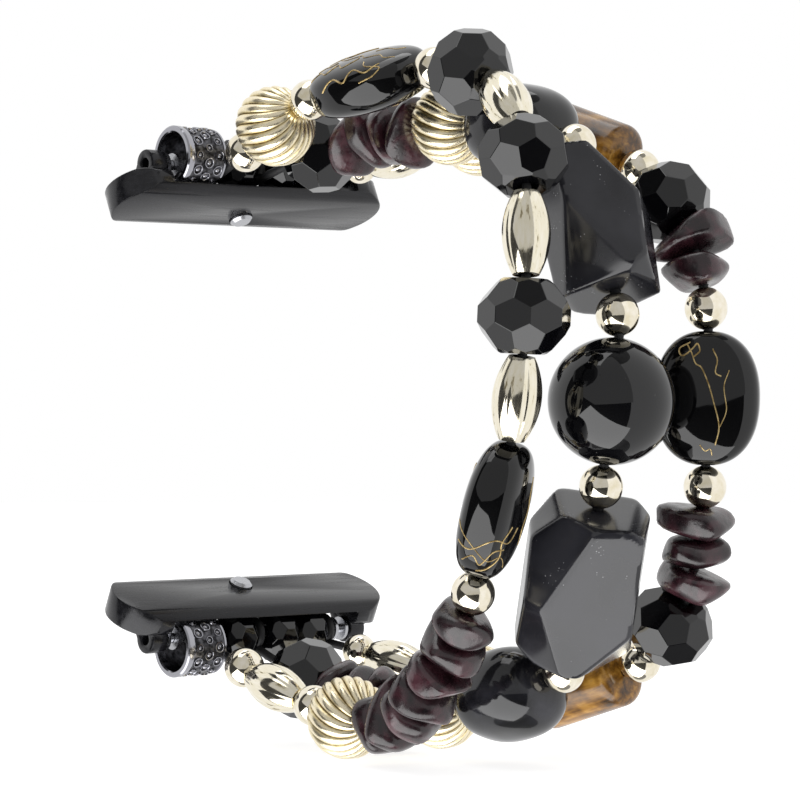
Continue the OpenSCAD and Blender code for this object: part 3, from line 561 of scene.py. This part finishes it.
# Mirror with a warm white tint, worn a little yellower and duller in patches a millimetre wide.
tree = plain_tree(gold_plate)
spot = add(tree, "ShaderNodeTexCoord")
wear = add(tree, "ShaderNodeTexNoise", {"Vector": spot.outputs["Object"], "Scale": 1 / (1.0 * MM), "Detail": 3})
tone = add(tree, "ShaderNodeValToRGB", {"Fac": wear.outputs["Fac"]}, stops=[(0.35, "#f6efdf"), (0.7, "#e6dcc0")])
rough = add(tree, "ShaderNodeMapRange", {"Value": wear.outputs["Fac"], "From Min": 0.4, "From Max": 0.7,
                                         "To Min": 0.05, "To Max": 0.13})
dents = add(tree, "ShaderNodeBump", {"Height": wear.outputs["Fac"], "Strength": 0.12, "Distance": 0.05 * MM})
shine = add(tree, "ShaderNodeBsdfPrincipled", {"Base Color": tone.outputs["Color"], "Metallic": 1,
                                               "Roughness": rough.outputs["Result"],
                                               "Normal": dents.outputs["Normal"]})
add(tree, "ShaderNodeOutputMaterial", {"Surface": shine.outputs[0]})


def circle(r, z, sides=48):
    """Points of a circle round Z."""
    return [(r * math.cos(2 * math.pi * k / sides), r * math.sin(2 * math.pi * k / sides), z)
            for k in range(sides)]


def drilled_ball(d, rounds=32):
    """Ball with a bore along Z."""
    start = math.asin(2 * bead_bore / d)
    falls = [start + (math.pi - 2 * start) * k / rounds for k in range(rounds + 1)]
    draft = bmesh.new()
    skin(draft, [circle(d / 2 * math.sin(f), -d / 2 * math.cos(f)) for f in falls])
    return draft


ball = finished("gold_ball_4mm", drilled_ball(4.15), [gold_plate])
small_ball = finished("gold_ball_3_6mm", drilled_ball(3.6), [gold_plate])
# strand, its name, places of its balls from the upper bar, first bead past the middle of the back
for strand, label, size, places, back in [
        (near, "near", ball, (0, 2, 4, 12, 21, 23), 10), (centre, "middle", ball, (7, 9, 11, 13), 10),
        (far, "far", ball, (6, 10, 12, 17), 11), (far, "far_small", small_ball, (0, 2, 4, 19, 21, 23), 11)]:
    for i in places:
        node = "gold_balls_upper" if i < back else "gold_balls_lower"
        piece("gold_ball_%s_%d" % (label, i), size, node, body_of[node], seat(strand, i, 40 * i))


# Long gold rice beads: brass pressed into a barrel with eight soft lobes, in the same bright
# plating. Drawing marks run along the bead in its gloss and bumps, and brown streaks painted with them stand in for
# dark reflections.
rice_r = 2.3
rice_len = 7.8
rice_mouth = 1.25
rice_lobes = 8
rice_crease = 0.12

drawn_gold = bpy.data.materials.new("drawn_pale_gold_plating")
# Mirror gold broken along the bead by painted brown streaks that stand in for dark reflections, with fine drawing
# marks in the gloss and bumps.
tree = plain_tree(drawn_gold)
spot = add(tree, "ShaderNodeTexCoord")
along = add(tree, "ShaderNodeMapping", {"Vector": spot.outputs["Object"], "Scale": (1, 1, 0.18)})
marks_and_reflection_streaks = add(tree, "ShaderNodeTexNoise", {"Vector": along.outputs["Vector"], "Scale": 1 / (0.45 * MM),
                                           "Detail": 4, "Roughness": 0.6})
# Painted reflection: where the streak noise is low, the colour turns dark brown.
tone = add(tree, "ShaderNodeValToRGB", {"Fac": marks_and_reflection_streaks.outputs["Fac"]},
           stops=[(0.3, "#8d7f5c"), (0.39, "#ede5cd"), (0.7, "#f6f0e0")])
rough = add(tree, "ShaderNodeMapRange", {"Value": marks_and_reflection_streaks.outputs["Fac"], "From Min": 0.35, "From Max": 0.65,
                                         "To Min": 0.18, "To Max": 0.06})
marks = add(tree, "ShaderNodeBump", {"Height": marks_and_reflection_streaks.outputs["Fac"], "Strength": 0.15, "Distance": 0.05 * MM})
shine = add(tree, "ShaderNodeBsdfPrincipled", {"Base Color": tone.outputs["Color"], "Metallic": 1,
                                               "Roughness": rough.outputs["Result"],
                                               "Normal": marks.outputs["Normal"]})
add(tree, "ShaderNodeOutputMaterial", {"Surface": shine.outputs[0]})

draft = bmesh.new()
rings = []
rounds, sides = 40, 96
for k in range(rounds + 1):
    t = 2 * k / rounds - 1
    r = rice_mouth + (rice_r - rice_mouth) * (1 - t * t)
    ring = []
    for i in range(sides):
        a = 2 * math.pi * i / sides
        fold = (1 - abs(math.sin(rice_lobes * a / 2)) ** 0.45) * rice_crease * (1 - t * t)
        ring.append(((r - fold) * math.cos(a), (r - fold) * math.sin(a), t * rice_len / 2))
    rings.append(ring)
skin(draft, [circle(bead_bore, -rice_len / 2 + 0.12, sides), circle(rice_mouth - 0.3, -rice_len / 2 - 0.02, sides)]
     + rings + [circle(rice_mouth - 0.3, rice_len / 2 + 0.02, sides), circle(bead_bore, rice_len / 2 - 0.12, sides)])
rice = finished("rice_bead", draft, [drawn_gold], 50)
for name, strand, i, turn in [
        ("rice_near_top", near, 6, 10), ("rice_near_shoulder", near, 8, 0), ("rice_near_back", near, 10, 20),
        ("rice_near_lower", near, 22, 0), ("rice_far_upper", far, 1, 0), ("rice_far_lower", far, 22, 15)]:
    piece("pressed_" + name, rice, name, body_of[name], seat(strand, i, turn))


# Fluted gold balls: twenty ribs wind a seventh of a turn from mouth to mouth. They are pressed
# brass in satin gold, with a brown shade painted into the grooves, so the ribs look brighter.
flute_r = 4.15
flute_len = 7.5
flute_mouth = 1.45
flute_count = 20
flute_twist = 50
flute_depth = 0.34

satin_gold = bpy.data.materials.new("satin_gold_plating")
# Soft champagne highlights; the mesh says how deep in a groove each spot is, and shade is painted there: the deeper,
# the browner, broken a little by random grain.
tree = plain_tree(satin_gold)
spot = add(tree, "ShaderNodeTexCoord")
deep = add(tree, "ShaderNodeAttribute", attribute_name="groove")
grain = add(tree, "ShaderNodeTexNoise", {"Vector": spot.outputs["Object"], "Scale": 1 / (0.35 * MM), "Detail": 4})
low = add(tree, "ShaderNodeMapRange", {"Value": grain.outputs["Fac"], "From Min": 0.3, "From Max": 0.7,
                                       "To Min": -0.12, "To Max": 0.12})
# Painted shade: groove depth plus a little random grain sets how brown the colour gets.
groove_shade_and_grain = add(tree, "ShaderNodeMath", {0: deep.outputs["Fac"], 1: low.outputs["Result"]}, operation="ADD")
tone = add(tree, "ShaderNodeValToRGB", {"Fac": groove_shade_and_grain.outputs[0]},
           stops=[(0.12, "#f7ebcc"), (0.5, "#e0cf9f"), (0.95, "#6b5330")])
rough = add(tree, "ShaderNodeMapRange", {"Value": groove_shade_and_grain.outputs[0], "To Min": 0.26, "To Max": 0.5})
shine = add(tree, "ShaderNodeBsdfPrincipled", {"Base Color": tone.outputs["Color"], "Metallic": 1,
                                               "Roughness": rough.outputs["Result"]})
add(tree, "ShaderNodeOutputMaterial", {"Surface": shine.outputs[0]})

draft = bmesh.new()
depth_of = []
rings = []
rounds, sides = 36, 12 * flute_count
start = math.asin(flute_mouth / flute_r)
for k in range(rounds + 1):
    fall = start + (math.pi - 2 * start) * k / rounds
    z = -flute_len / 2 * math.cos(fall) / math.cos(start)
    ring = []
    for i in range(sides):
        turn = 2 * math.pi * i / sides
        valley = 1 - abs(math.sin(flute_count * turn / 2)) ** 0.8
        a = turn + math.radians(flute_twist) * z / flute_len
        out = flute_r * math.sin(fall) - valley * flute_depth * math.sin(fall)
        ring.append((out * math.cos(a), out * math.sin(a), z))
        depth_of.append(valley ** 1.5)
    rings.append(ring)
skin(draft, rings + [circle(bead_bore, flute_len / 2 + 0.02, sides), circle(bead_bore, -flute_len / 2 - 0.02, sides)])
flute = finished("fluted_ball", draft, [satin_gold], 75)
groove = flute.attributes.new("groove", "FLOAT", "POINT")
# Painted shade: the bore mouths are painted at 0.6 of full groove depth, so they come out browner.
groove.data.foreach_set("value", depth_of + [0.6] * (2 * sides))
for name, strand, i, turn in [
        ("fluted_ball_near_upper", near, 1, 0), ("fluted_ball_near_lower", near, 20, 5),
        ("fluted_ball_middle_upper", centre, 5, 3), ("fluted_ball_middle_lower", centre, 15, 0),
        ("fluted_ball_far_upper", far, 3, 0), ("fluted_ball_far_lower", far, 20, 0)]:
    piece("satin_" + name, flute, name, body_of[name], seat(strand, i, turn))


# Flat oval beads of glossy black acrylic with gold lines drawn in their surface. Loose gold
# threads are laid in by hand before the clear coat, so no two ovals are alike.
oval_half = (5.1, 2.8, 6.5)
oval_power = (2.3, 3.4, 2.3)

black_acrylic = bpy.data.materials.new("polished_black_acrylic")
# Deep black with a clear, slightly wavy gloss.
tree = plain_tree(black_acrylic)
spot = add(tree, "ShaderNodeTexCoord")
waves = add(tree, "ShaderNodeTexNoise", {"Vector": spot.outputs["Object"], "Scale": 1 / (3.5 * MM), "Detail": 1})
gloss = add(tree, "ShaderNodeBump", {"Height": waves.outputs["Fac"], "Strength": 0.2, "Distance": 0.2 * MM})
shine = add(tree, "ShaderNodeBsdfPrincipled", {"Base Color": linear("#060607"), "IOR": 1.5, "Roughness": 0.04,
                                               "Normal": gloss.outputs["Normal"]})
add(tree, "ShaderNodeOutputMaterial", {"Surface": shine.outputs[0]})
gold_thread = bpy.data.materials.new("gold_thread_under_gloss")
# Dull metallic yellow, patchy along the line.
tree = plain_tree(gold_thread)
spot = add(tree, "ShaderNodeTexCoord")
patch = add(tree, "ShaderNodeTexNoise", {"Vector": spot.outputs["Object"], "Scale": 1 / (0.6 * MM), "Detail": 2})
tone = add(tree, "ShaderNodeValToRGB", {"Fac": patch.outputs["Fac"]}, stops=[(0.35, "#8c7444"), (0.6, "#cdb47c")])
shine = add(tree, "ShaderNodeBsdfPrincipled", {"Base Color": tone.outputs["Color"], "Metallic": 0.55,
                                               "Roughness": 0.35})
add(tree, "ShaderNodeOutputMaterial", {"Surface": shine.outputs[0]})


def puffed(a, z, half, power):
    """Point of a puffed tablet at an angle round its bore and a height along it, in mm."""
    left = max(1 - abs(z / half[2]) ** power[2], 0.0)
    low, high = 0.0, half[0] + half[1]
    for _ in range(24):
        r = (low + high) / 2
        if abs(r * math.cos(a) / half[0]) ** power[0] + abs(r * math.sin(a) / half[1]) ** power[1] < left:
            low = r
        else:
            high = r
    return Vector((r * math.cos(a), r * math.sin(a), z))


def puff(half, power, sides=64, rounds=40):
    """Puffed tablet with a bore along Z."""
    rings = []
    for k in range(rounds + 1):
        z = -half[2] * math.cos(math.pi * k / rounds)
        ring = [puffed(2 * math.pi * i / sides, z, half, power) for i in range(sides)]
        if min(p.xy.length for p in ring) > bead_bore + 0.1:
            rings.append(ring)
    draft = bmesh.new()
    top = max(p.z for p in rings[-1]) + 0.04
    skin(draft, [circle(bead_bore, -top, sides)] + rings + [circle(bead_bore, top, sides)])
    return draft


def thread(draft, path, r):
    """Gold line along a path of (degrees round the bore, mm along it), half sunk in the skin."""
    line = []
    points = [Vector((a, z, 0)) for a, z in path]
    for p in eased(points, 8):
        line.append(puffed(math.radians(p.x), p.y, oval_half, oval_power))
    skin(draft, tube_rings(line, r, 6), closed=False)


oval = finished("oval_tablet", puff(oval_half, oval_power), [black_acrylic])
# piece, strand, place, turn round the cord, gold lines on it as (degrees round the bore, mm along it)
ovals = [
    ("oval_near_upper", near, 3, 24, [
        [(150, -4.8), (138, -3.6), (146, -2.2), (128, -1.4), (140, -0.2), (120, 0.8), (104, 0.4)],
        [(95, -2.5), (108, -1.2), (100, 0.6), (118, 1.6), (110, 3.2), (124, 4.2), (118, 5.2)],
        [(170, -2.0), (158, -0.6), (164, 1.0), (150, 1.8), (156, 3.4), (142, 4.4)],
        [(135, 2.4), (146, 3.0), (150, 4.6), (162, 4.2), (168, 2.8)],
        [(80, 1.6), (66, 2.6), (72, 4.0), (56, 4.6)], [(88, -4.6), (74, -3.4), (80, -1.8), (62, -1.0), (48, 0.4)],
        [(128, -4.6), (118, -3.9), (122, -2.8), (112, -2.2)],
        [(270, -4.4), (284, -3.0), (276, -1.4), (292, 0.2), (282, 2.0), (298, 3.6)],
        [(245, -3.2), (256, -1.8), (248, 0.2), (262, 1.6), (252, 3.4)]]),
    ("oval_near_lower", near, 11, -35, [
        [(120, 0.6), (140, 1.8), (162, 1.4), (186, 2.8), (204, 2.4)],
        [(128, 4.6), (148, 3.2), (166, 3.6), (190, 2.0), (210, 0.6)],
        [(140, 0.2), (152, 1.6), (150, 3.2), (164, 4.6), (176, 5.0)],
        [(196, 4.2), (182, 3.4), (172, 4.2), (160, 2.6), (146, 2.4)],
        [(60, -3.6), (72, -2.0), (64, -0.4), (80, 1.2), (70, 3.0)],
        [(240, -4.2), (256, -2.6), (248, -0.8), (266, 0.8), (258, 2.8), (272, 4.2)]]),
    ("oval_far_back", far, 11, 50, [
        [(132, -5.2), (120, -4.4), (110, -3.4), (98, -3.0), (84, -1.6), (72, 0.4), (62, 2.6), (66, 4.4)],
        [(60, 2.6), (52, 1.0), (56, -1.2), (48, -2.8)],
        [(128, -5.4), (142, -4.8), (134, -4.1), (120, -4.8), (112, -5.3), (104, -4.6), (116, -4.0)],
        [(74, -4.8), (66, -3.8), (70, -2.6), (60, -2.2)],
        [(100, 4.4), (88, 5.0), (76, 4.8), (70, 5.4)],
        [(250, -4.0), (262, -2.2), (256, -0.4), (272, 1.4), (264, 3.4), (280, 4.6)],
        [(296, -3.0), (286, -1.2), (298, 0.8), (290, 2.6)]]),
]
for name, strand, i, turn, lines in ovals:
    place = seat(strand, i, turn)
    piece("glossy_" + name, oval, name, body_of[name], place)
    draft = bmesh.new()
    for n, path in enumerate(lines):
        thread(draft, path, (0.07, 0.055, 0.085)[n % 3])
    piece("gold_lines_" + name, finished("gold_lines_" + name, draft, [gold_thread]), name,
          body_of[name], place)


# Big round bead in the middle of the back, and two smooth pebbles beside the cut stones: black
# agate, ground and tumbled to a glassy polish, with a few pits the polish left open.
agate = bpy.data.materials.new("polished_black_agate")
# Black mirror with pin pricks a tenth of a millimetre wide.
tree = plain_tree(agate)
spot = add(tree, "ShaderNodeTexCoord")
cells = add(tree, "ShaderNodeTexVoronoi", {"Vector": spot.outputs["Object"], "Scale": 1 / (1.3 * MM),
                                           "Randomness": 1.0})
pits = add(tree, "ShaderNodeMapRange", {"Value": cells.outputs["Distance"], "From Min": 0.03, "From Max": 0.07})
few = add(tree, "ShaderNodeTexNoise", {"Vector": spot.outputs["Object"], "Scale": 1 / (5 * MM)})
some = add(tree, "ShaderNodeMapRange", {"Value": few.outputs["Fac"], "From Min": 0.5, "From Max": 0.56})
here = add(tree, "ShaderNodeMath", {0: pits.outputs["Result"], 1: some.outputs["Result"]}, operation="MAXIMUM")
pricks = add(tree, "ShaderNodeBump", {"Height": here.outputs[0], "Strength": 0.6, "Distance": 0.06 * MM})
shine = add(tree, "ShaderNodeBsdfPrincipled", {"Base Color": linear("#070709"), "IOR": 1.54, "Roughness": 0.045,
                                               "Normal": pricks.outputs["Normal"]})
add(tree, "ShaderNodeOutputMaterial", {"Surface": shine.outputs[0]})
round_bead = finished("round_bead_12mm", drilled_ball(12, 64), [agate])
piece("agate_round_middle_back", round_bead, "round_middle_back", "round_middle_back",
      seat(centre, 10))

smoky = bpy.data.materials.new("tumbled_smoky_stone")
# Dark grey under the polish, cloudy at the scale of a few millimetres.
tree = plain_tree(smoky)
spot = add(tree, "ShaderNodeTexCoord")
clouds = add(tree, "ShaderNodeTexNoise", {"Vector": spot.outputs["Object"], "Scale": 1 / (4 * MM), "Detail": 5})
tone = add(tree, "ShaderNodeValToRGB", {"Fac": clouds.outputs["Fac"]},
           stops=[(0.4, "#0c0c0e"), (0.55, "#1b1b1f"), (0.75, "#303036")])
shine = add(tree, "ShaderNodeBsdfPrincipled", {"Base Color": tone.outputs["Color"], "IOR": 1.54,
                                               "Roughness": 0.09})
add(tree, "ShaderNodeOutputMaterial", {"Surface": shine.outputs[0]})
pebble = finished("smooth_pebble", puff((5.0, 4.3, 5.7), (2.4, 2.4, 2.5)), [smoky])
for name, i, turn in [("pebble_middle_upper", 6, 0), ("pebble_middle_lower", 14, 20)]:
    piece("tumbled_" + name, pebble, name, body_of[name], seat(centre, i, turn))


# Two big cut stones flank the round bead. They are dark grey stone ground to eight or nine long
# faces, two flat ends and a few bevels, then tumbled until the edges go soft, and polished.
charcoal = bpy.data.materials.new("tumbled_charcoal_stone")
# Charcoal with a soft gloss, cloudy, with fine white scuffs in patches.
tree = plain_tree(charcoal)
spot = add(tree, "ShaderNodeTexCoord")
clouds = add(tree, "ShaderNodeTexNoise", {"Vector": spot.outputs["Object"], "Scale": 1 / (6 * MM), "Detail": 3})
tone = add(tree, "ShaderNodeValToRGB", {"Fac": clouds.outputs["Fac"]}, stops=[(0.35, "#1d1d21"), (0.65, "#2a2a2f")])
bits = add(tree, "ShaderNodeTexVoronoi", {"Vector": spot.outputs["Object"], "Scale": 1 / (0.35 * MM)})
speck = add(tree, "ShaderNodeMapRange", {"Value": bits.outputs["Distance"], "From Min": 0.16, "From Max": 0.1})
area = add(tree, "ShaderNodeTexNoise", {"Vector": spot.outputs["Object"], "Scale": 1 / (2.2 * MM), "Detail": 1})
patch = add(tree, "ShaderNodeMapRange", {"Value": area.outputs["Fac"], "From Min": 0.6, "From Max": 0.66})
scuff = add(tree, "ShaderNodeMath", {0: speck.outputs["Result"], 1: patch.outputs["Result"]}, operation="MULTIPLY")
body = add(tree, "ShaderNodeMixRGB", {0: scuff.outputs[0], 1: tone.outputs["Color"], 2: linear("#a9a9ac")})
rough = add(tree, "ShaderNodeMapRange", {"Value": clouds.outputs["Fac"], "From Min": 0.35, "From Max": 0.65,
                                         "To Min": 0.12, "To Max": 0.2})
shine = add(tree, "ShaderNodeBsdfPrincipled", {"Base Color": body.outputs[0], "IOR": 1.54,
                                               "Roughness": rough.outputs["Result"]})
add(tree, "ShaderNodeOutputMaterial", {"Surface": shine.outputs[0]})


def worn(planes, softness, sides, rounds):
    """Drilled stone with flat faces, given like the cuts of a crystal, and soft edges between them."""
    faces = []
    for turn, lean, distance in planes:
        t, l = math.radians(turn), math.radians(lean)
        faces.append((Vector((math.cos(t) * math.cos(l), math.sin(t) * math.cos(l), math.sin(l))), distance))

    def reach(n):
        return sum((max(n.dot(p), 0) / d) ** softness for p, d in faces) ** (-1 / softness)

    rings = []
    for k in range(rounds + 1):
        ring = []
        for i in range(sides):
            a = 2 * math.pi * i / sides
            ends = []
            for pole in (-1, 1):
                rise = 0.2
                for _ in range(5):
                    n = Vector((math.sin(rise) * math.cos(a), math.sin(rise) * math.sin(a), pole * math.cos(rise)))
                    rise = math.asin(min(bead_bore / reach(n), 0.9))
                ends.append(rise)
            fall = ends[0] + (math.pi - ends[0] - ends[1]) * k / rounds
            n = Vector((math.sin(fall) * math.cos(a), math.sin(fall) * math.sin(a), -math.cos(fall)))
            ring.append(n * reach(n))
        rings.append(ring)
    draft = bmesh.new()
    skin(draft, rings)
    return draft


# Faces of a stone: turn to the right of the side that faces out at the near left, lean towards the
# lower end, and distance from its middle in mm
faces_out = 134
crisp_edges = 60
upper_faces = [
    (14, 0, 5.0), (-22, 22, 5.7), (-62, 4, 5.3), (-110, 0, 5.3), (84, 4, 4.4), (84, -33, 4.2),
    (136, 0, 5.0), (180, -2, 4.9), (-146, 0, 5.0), (0, -90, 6.6), (0, 90, 7.1),
    (-70, -50, 7.9), (175, -50, 7.8), (60, 50, 7.7), (-10, 55, 7.8), (150, 50, 8.2), (-100, 56, 8.4)]
lower_faces = [
    (12, 3, 5.0), (-34, -17, 6.4), (-37, 19, 6.9), (-84, 0, 6.1), (88, 0, 4.95), (60, 36, 6.8),
    (136, 0, 5.3), (180, 0, 5.3), (-136, 0, 5.5), (0, 90, 7.85), (0, -90, 7.85),
    (-80, -42, 7.9), (90, -56, 8.6), (180, -50, 8.7), (-10, -68, 9.0), (-80, 50, 8.9), (180, 50, 8.7)]
for name, i, faces in [("nugget_middle_upper", 8, upper_faces), ("nugget_middle_lower", 12, lower_faces)]:
    planes = [(faces_out - t, l, d) for t, l, d in faces]
    stone = finished("stone_" + name, worn(planes, crisp_edges, 144, 112), [charcoal])
    piece("cut_" + name, stone, name, body_of[name], seat(centre, i))


# Two golden brown tubes on the far strand: grained brown stone turned to a cylinder, with rounded
# ends, and polished.
tube_r = 3.3
tube_len = 11.4
tube_edge = 1.2

grained_brown = bpy.data.materials.new("polished_grained_brown_stone")
# Amber and brown fibres run along the tube, with darker clouds and a clear gloss.
tree = plain_tree(grained_brown)
spot = add(tree, "ShaderNodeTexCoord")
along = add(tree, "ShaderNodeMapping", {"Vector": spot.outputs["Object"], "Scale": (1, 1, 0.16)})
fibres = add(tree, "ShaderNodeTexNoise", {"Vector": along.outputs["Vector"], "Scale": 1 / (0.9 * MM),
                                          "Detail": 6, "Roughness": 0.62, "Distortion": 0.4})
clouds = add(tree, "ShaderNodeTexNoise", {"Vector": spot.outputs["Object"], "Scale": 1 / (3.2 * MM), "Detail": 3})
both = add(tree, "ShaderNodeMath", {0: clouds.outputs["Fac"], 1: fibres.outputs["Fac"]}, operation="ADD")
half = add(tree, "ShaderNodeMath", {0: both.outputs[0], 1: 0.5}, operation="MULTIPLY")
tone = add(tree, "ShaderNodeValToRGB", {"Fac": half.outputs[0]},
           stops=[(0.36, "#2e2012"), (0.45, "#5d3e18"), (0.53, "#8d6224"), (0.62, "#b98a3c"), (0.7, "#8a7350")])
grain = add(tree, "ShaderNodeBump", {"Height": fibres.outputs["Fac"], "Strength": 0.1, "Distance": 0.1 * MM})
shine = add(tree, "ShaderNodeBsdfPrincipled", {"Base Color": tone.outputs["Color"], "IOR": 1.54,
                                               "Roughness": 0.2, "Normal": grain.outputs["Normal"]})
add(tree, "ShaderNodeOutputMaterial", {"Surface": shine.outputs[0]})
draft = bmesh.new()
corner = [(tube_r - tube_edge + tube_edge * math.cos(math.radians(a)),
           tube_len / 2 - tube_edge + tube_edge * math.sin(math.radians(a))) for a in range(0, 91, 10)]
side = [(tube_r, z * (tube_len / 2 - tube_edge) / 8) for z in range(-7, 8)]
profile = [(bead_bore, -tube_len / 2)] + [(r, -z) for r, z in corner[::-1]] + side
profile += corner + [(bead_bore, tube_len / 2)]
skin(draft, [circle(r, z, 64) for r, z in profile])
tube = finished("brown_tube", draft, [grained_brown])
for name, i, turn in [("tube_far_upper", 5, 0), ("tube_far_lower", 18, 120)]:
    piece("grained_" + name, tube, name, body_of[name], seat(far, i, turn))


# Dark red stone chips: broken garnet tumbled until smooth, drilled and strung close, each with its
# own size, lean and turn.
chip_len = 2.8
chip_w = 6.6
rounded_edges = 7

garnet = bpy.data.materials.new("tumbled_dark_garnet")
# Purple brown, cloudy, lumpy under a wet gloss; each chip has its own depth of colour.
tree = plain_tree(garnet)
spot = add(tree, "ShaderNodeTexCoord")
which = add(tree, "ShaderNodeObjectInfo")
clouds = add(tree, "ShaderNodeTexNoise", {"Vector": spot.outputs["Object"], "Scale": 1 / (1.8 * MM), "Detail": 4,
                                          "Distortion": 0.5})
tinted = add(tree, "ShaderNodeMath", {0: clouds.outputs["Fac"], 1: which.outputs["Color"]}, operation="ADD")
tone = add(tree, "ShaderNodeValToRGB", {"Fac": tinted.outputs[0]},
           stops=[(0.3, "#120c0f"), (0.5, "#28161b"), (0.65, "#3f2229"), (0.85, "#5a3a41")])
lumps = add(tree, "ShaderNodeTexNoise", {"Vector": spot.outputs["Object"], "Scale": 1 / (1.1 * MM), "Detail": 3})
worn_skin = add(tree, "ShaderNodeBump", {"Height": lumps.outputs["Fac"], "Strength": 0.3, "Distance": 0.2 * MM})
rough = add(tree, "ShaderNodeMapRange", {"Value": lumps.outputs["Fac"], "From Min": 0.35, "From Max": 0.7,
                                         "To Min": 0.16, "To Max": 0.34})
shine = add(tree, "ShaderNodeBsdfPrincipled", {"Base Color": tone.outputs["Color"], "IOR": 1.62,
                                               "Roughness": rough.outputs["Result"],
                                               "Normal": worn_skin.outputs["Normal"]})
add(tree, "ShaderNodeOutputMaterial", {"Surface": shine.outputs[0]})


def chip(n):
    """Tumbled chip: a low stone with twelve worn faces, set by its number."""
    def way(k):
        return math.sin(n * 12.9898 + k * 78.233) * 43758.5453 % 1

    size = chip_w / 2 * (0.92 + 0.2 * way(1))
    planes = []
    for k in range(6):
        planes.append((60 * k + 34 * way(k + 2), 26 * (way(k + 9) - 0.5), size * (0.82 + 0.3 * way(k + 16))))
    for side in (-1, 1):
        planes.append((360 * way(23 + side), side * (80 + 8 * way(26 + side)), chip_len * 0.51))
        planes.append((360 * way(29 + side), side * (48 + 14 * way(32 + side)),
                       chip_len * (0.7 + 0.15 * way(35 + side))))
        planes.append((360 * way(39 + side), side * (44 + 14 * way(42 + side)),
                       chip_len * (0.76 + 0.15 * way(45 + side))))
    return worn(planes, rounded_edges, 48, 30)


for strand, label, places, node in [
        (near, "near", range(13, 20), "chips_near_lower"), (centre, "middle", range(1, 5), "chips_middle_upper"),
        (centre, "middle", range(16, 20), "chips_middle_lower"), (far, "far", range(8, 10), "chips_far_upper"),
        (far, "far", range(13, 16), "chips_far_lower")]:
    for i in places:
        name = "chip_%s_%d" % (label, i)
        seed = i + 30 * len(label)
        stone = piece(name, finished(name, chip(seed), [garnet]), node, body_of[node],
                      seat(strand, i, 73 * i))
        shade = (seed * 0.37) % 1 * 0.24 - 0.12
        stone.color = (shade, shade, shade, 1)
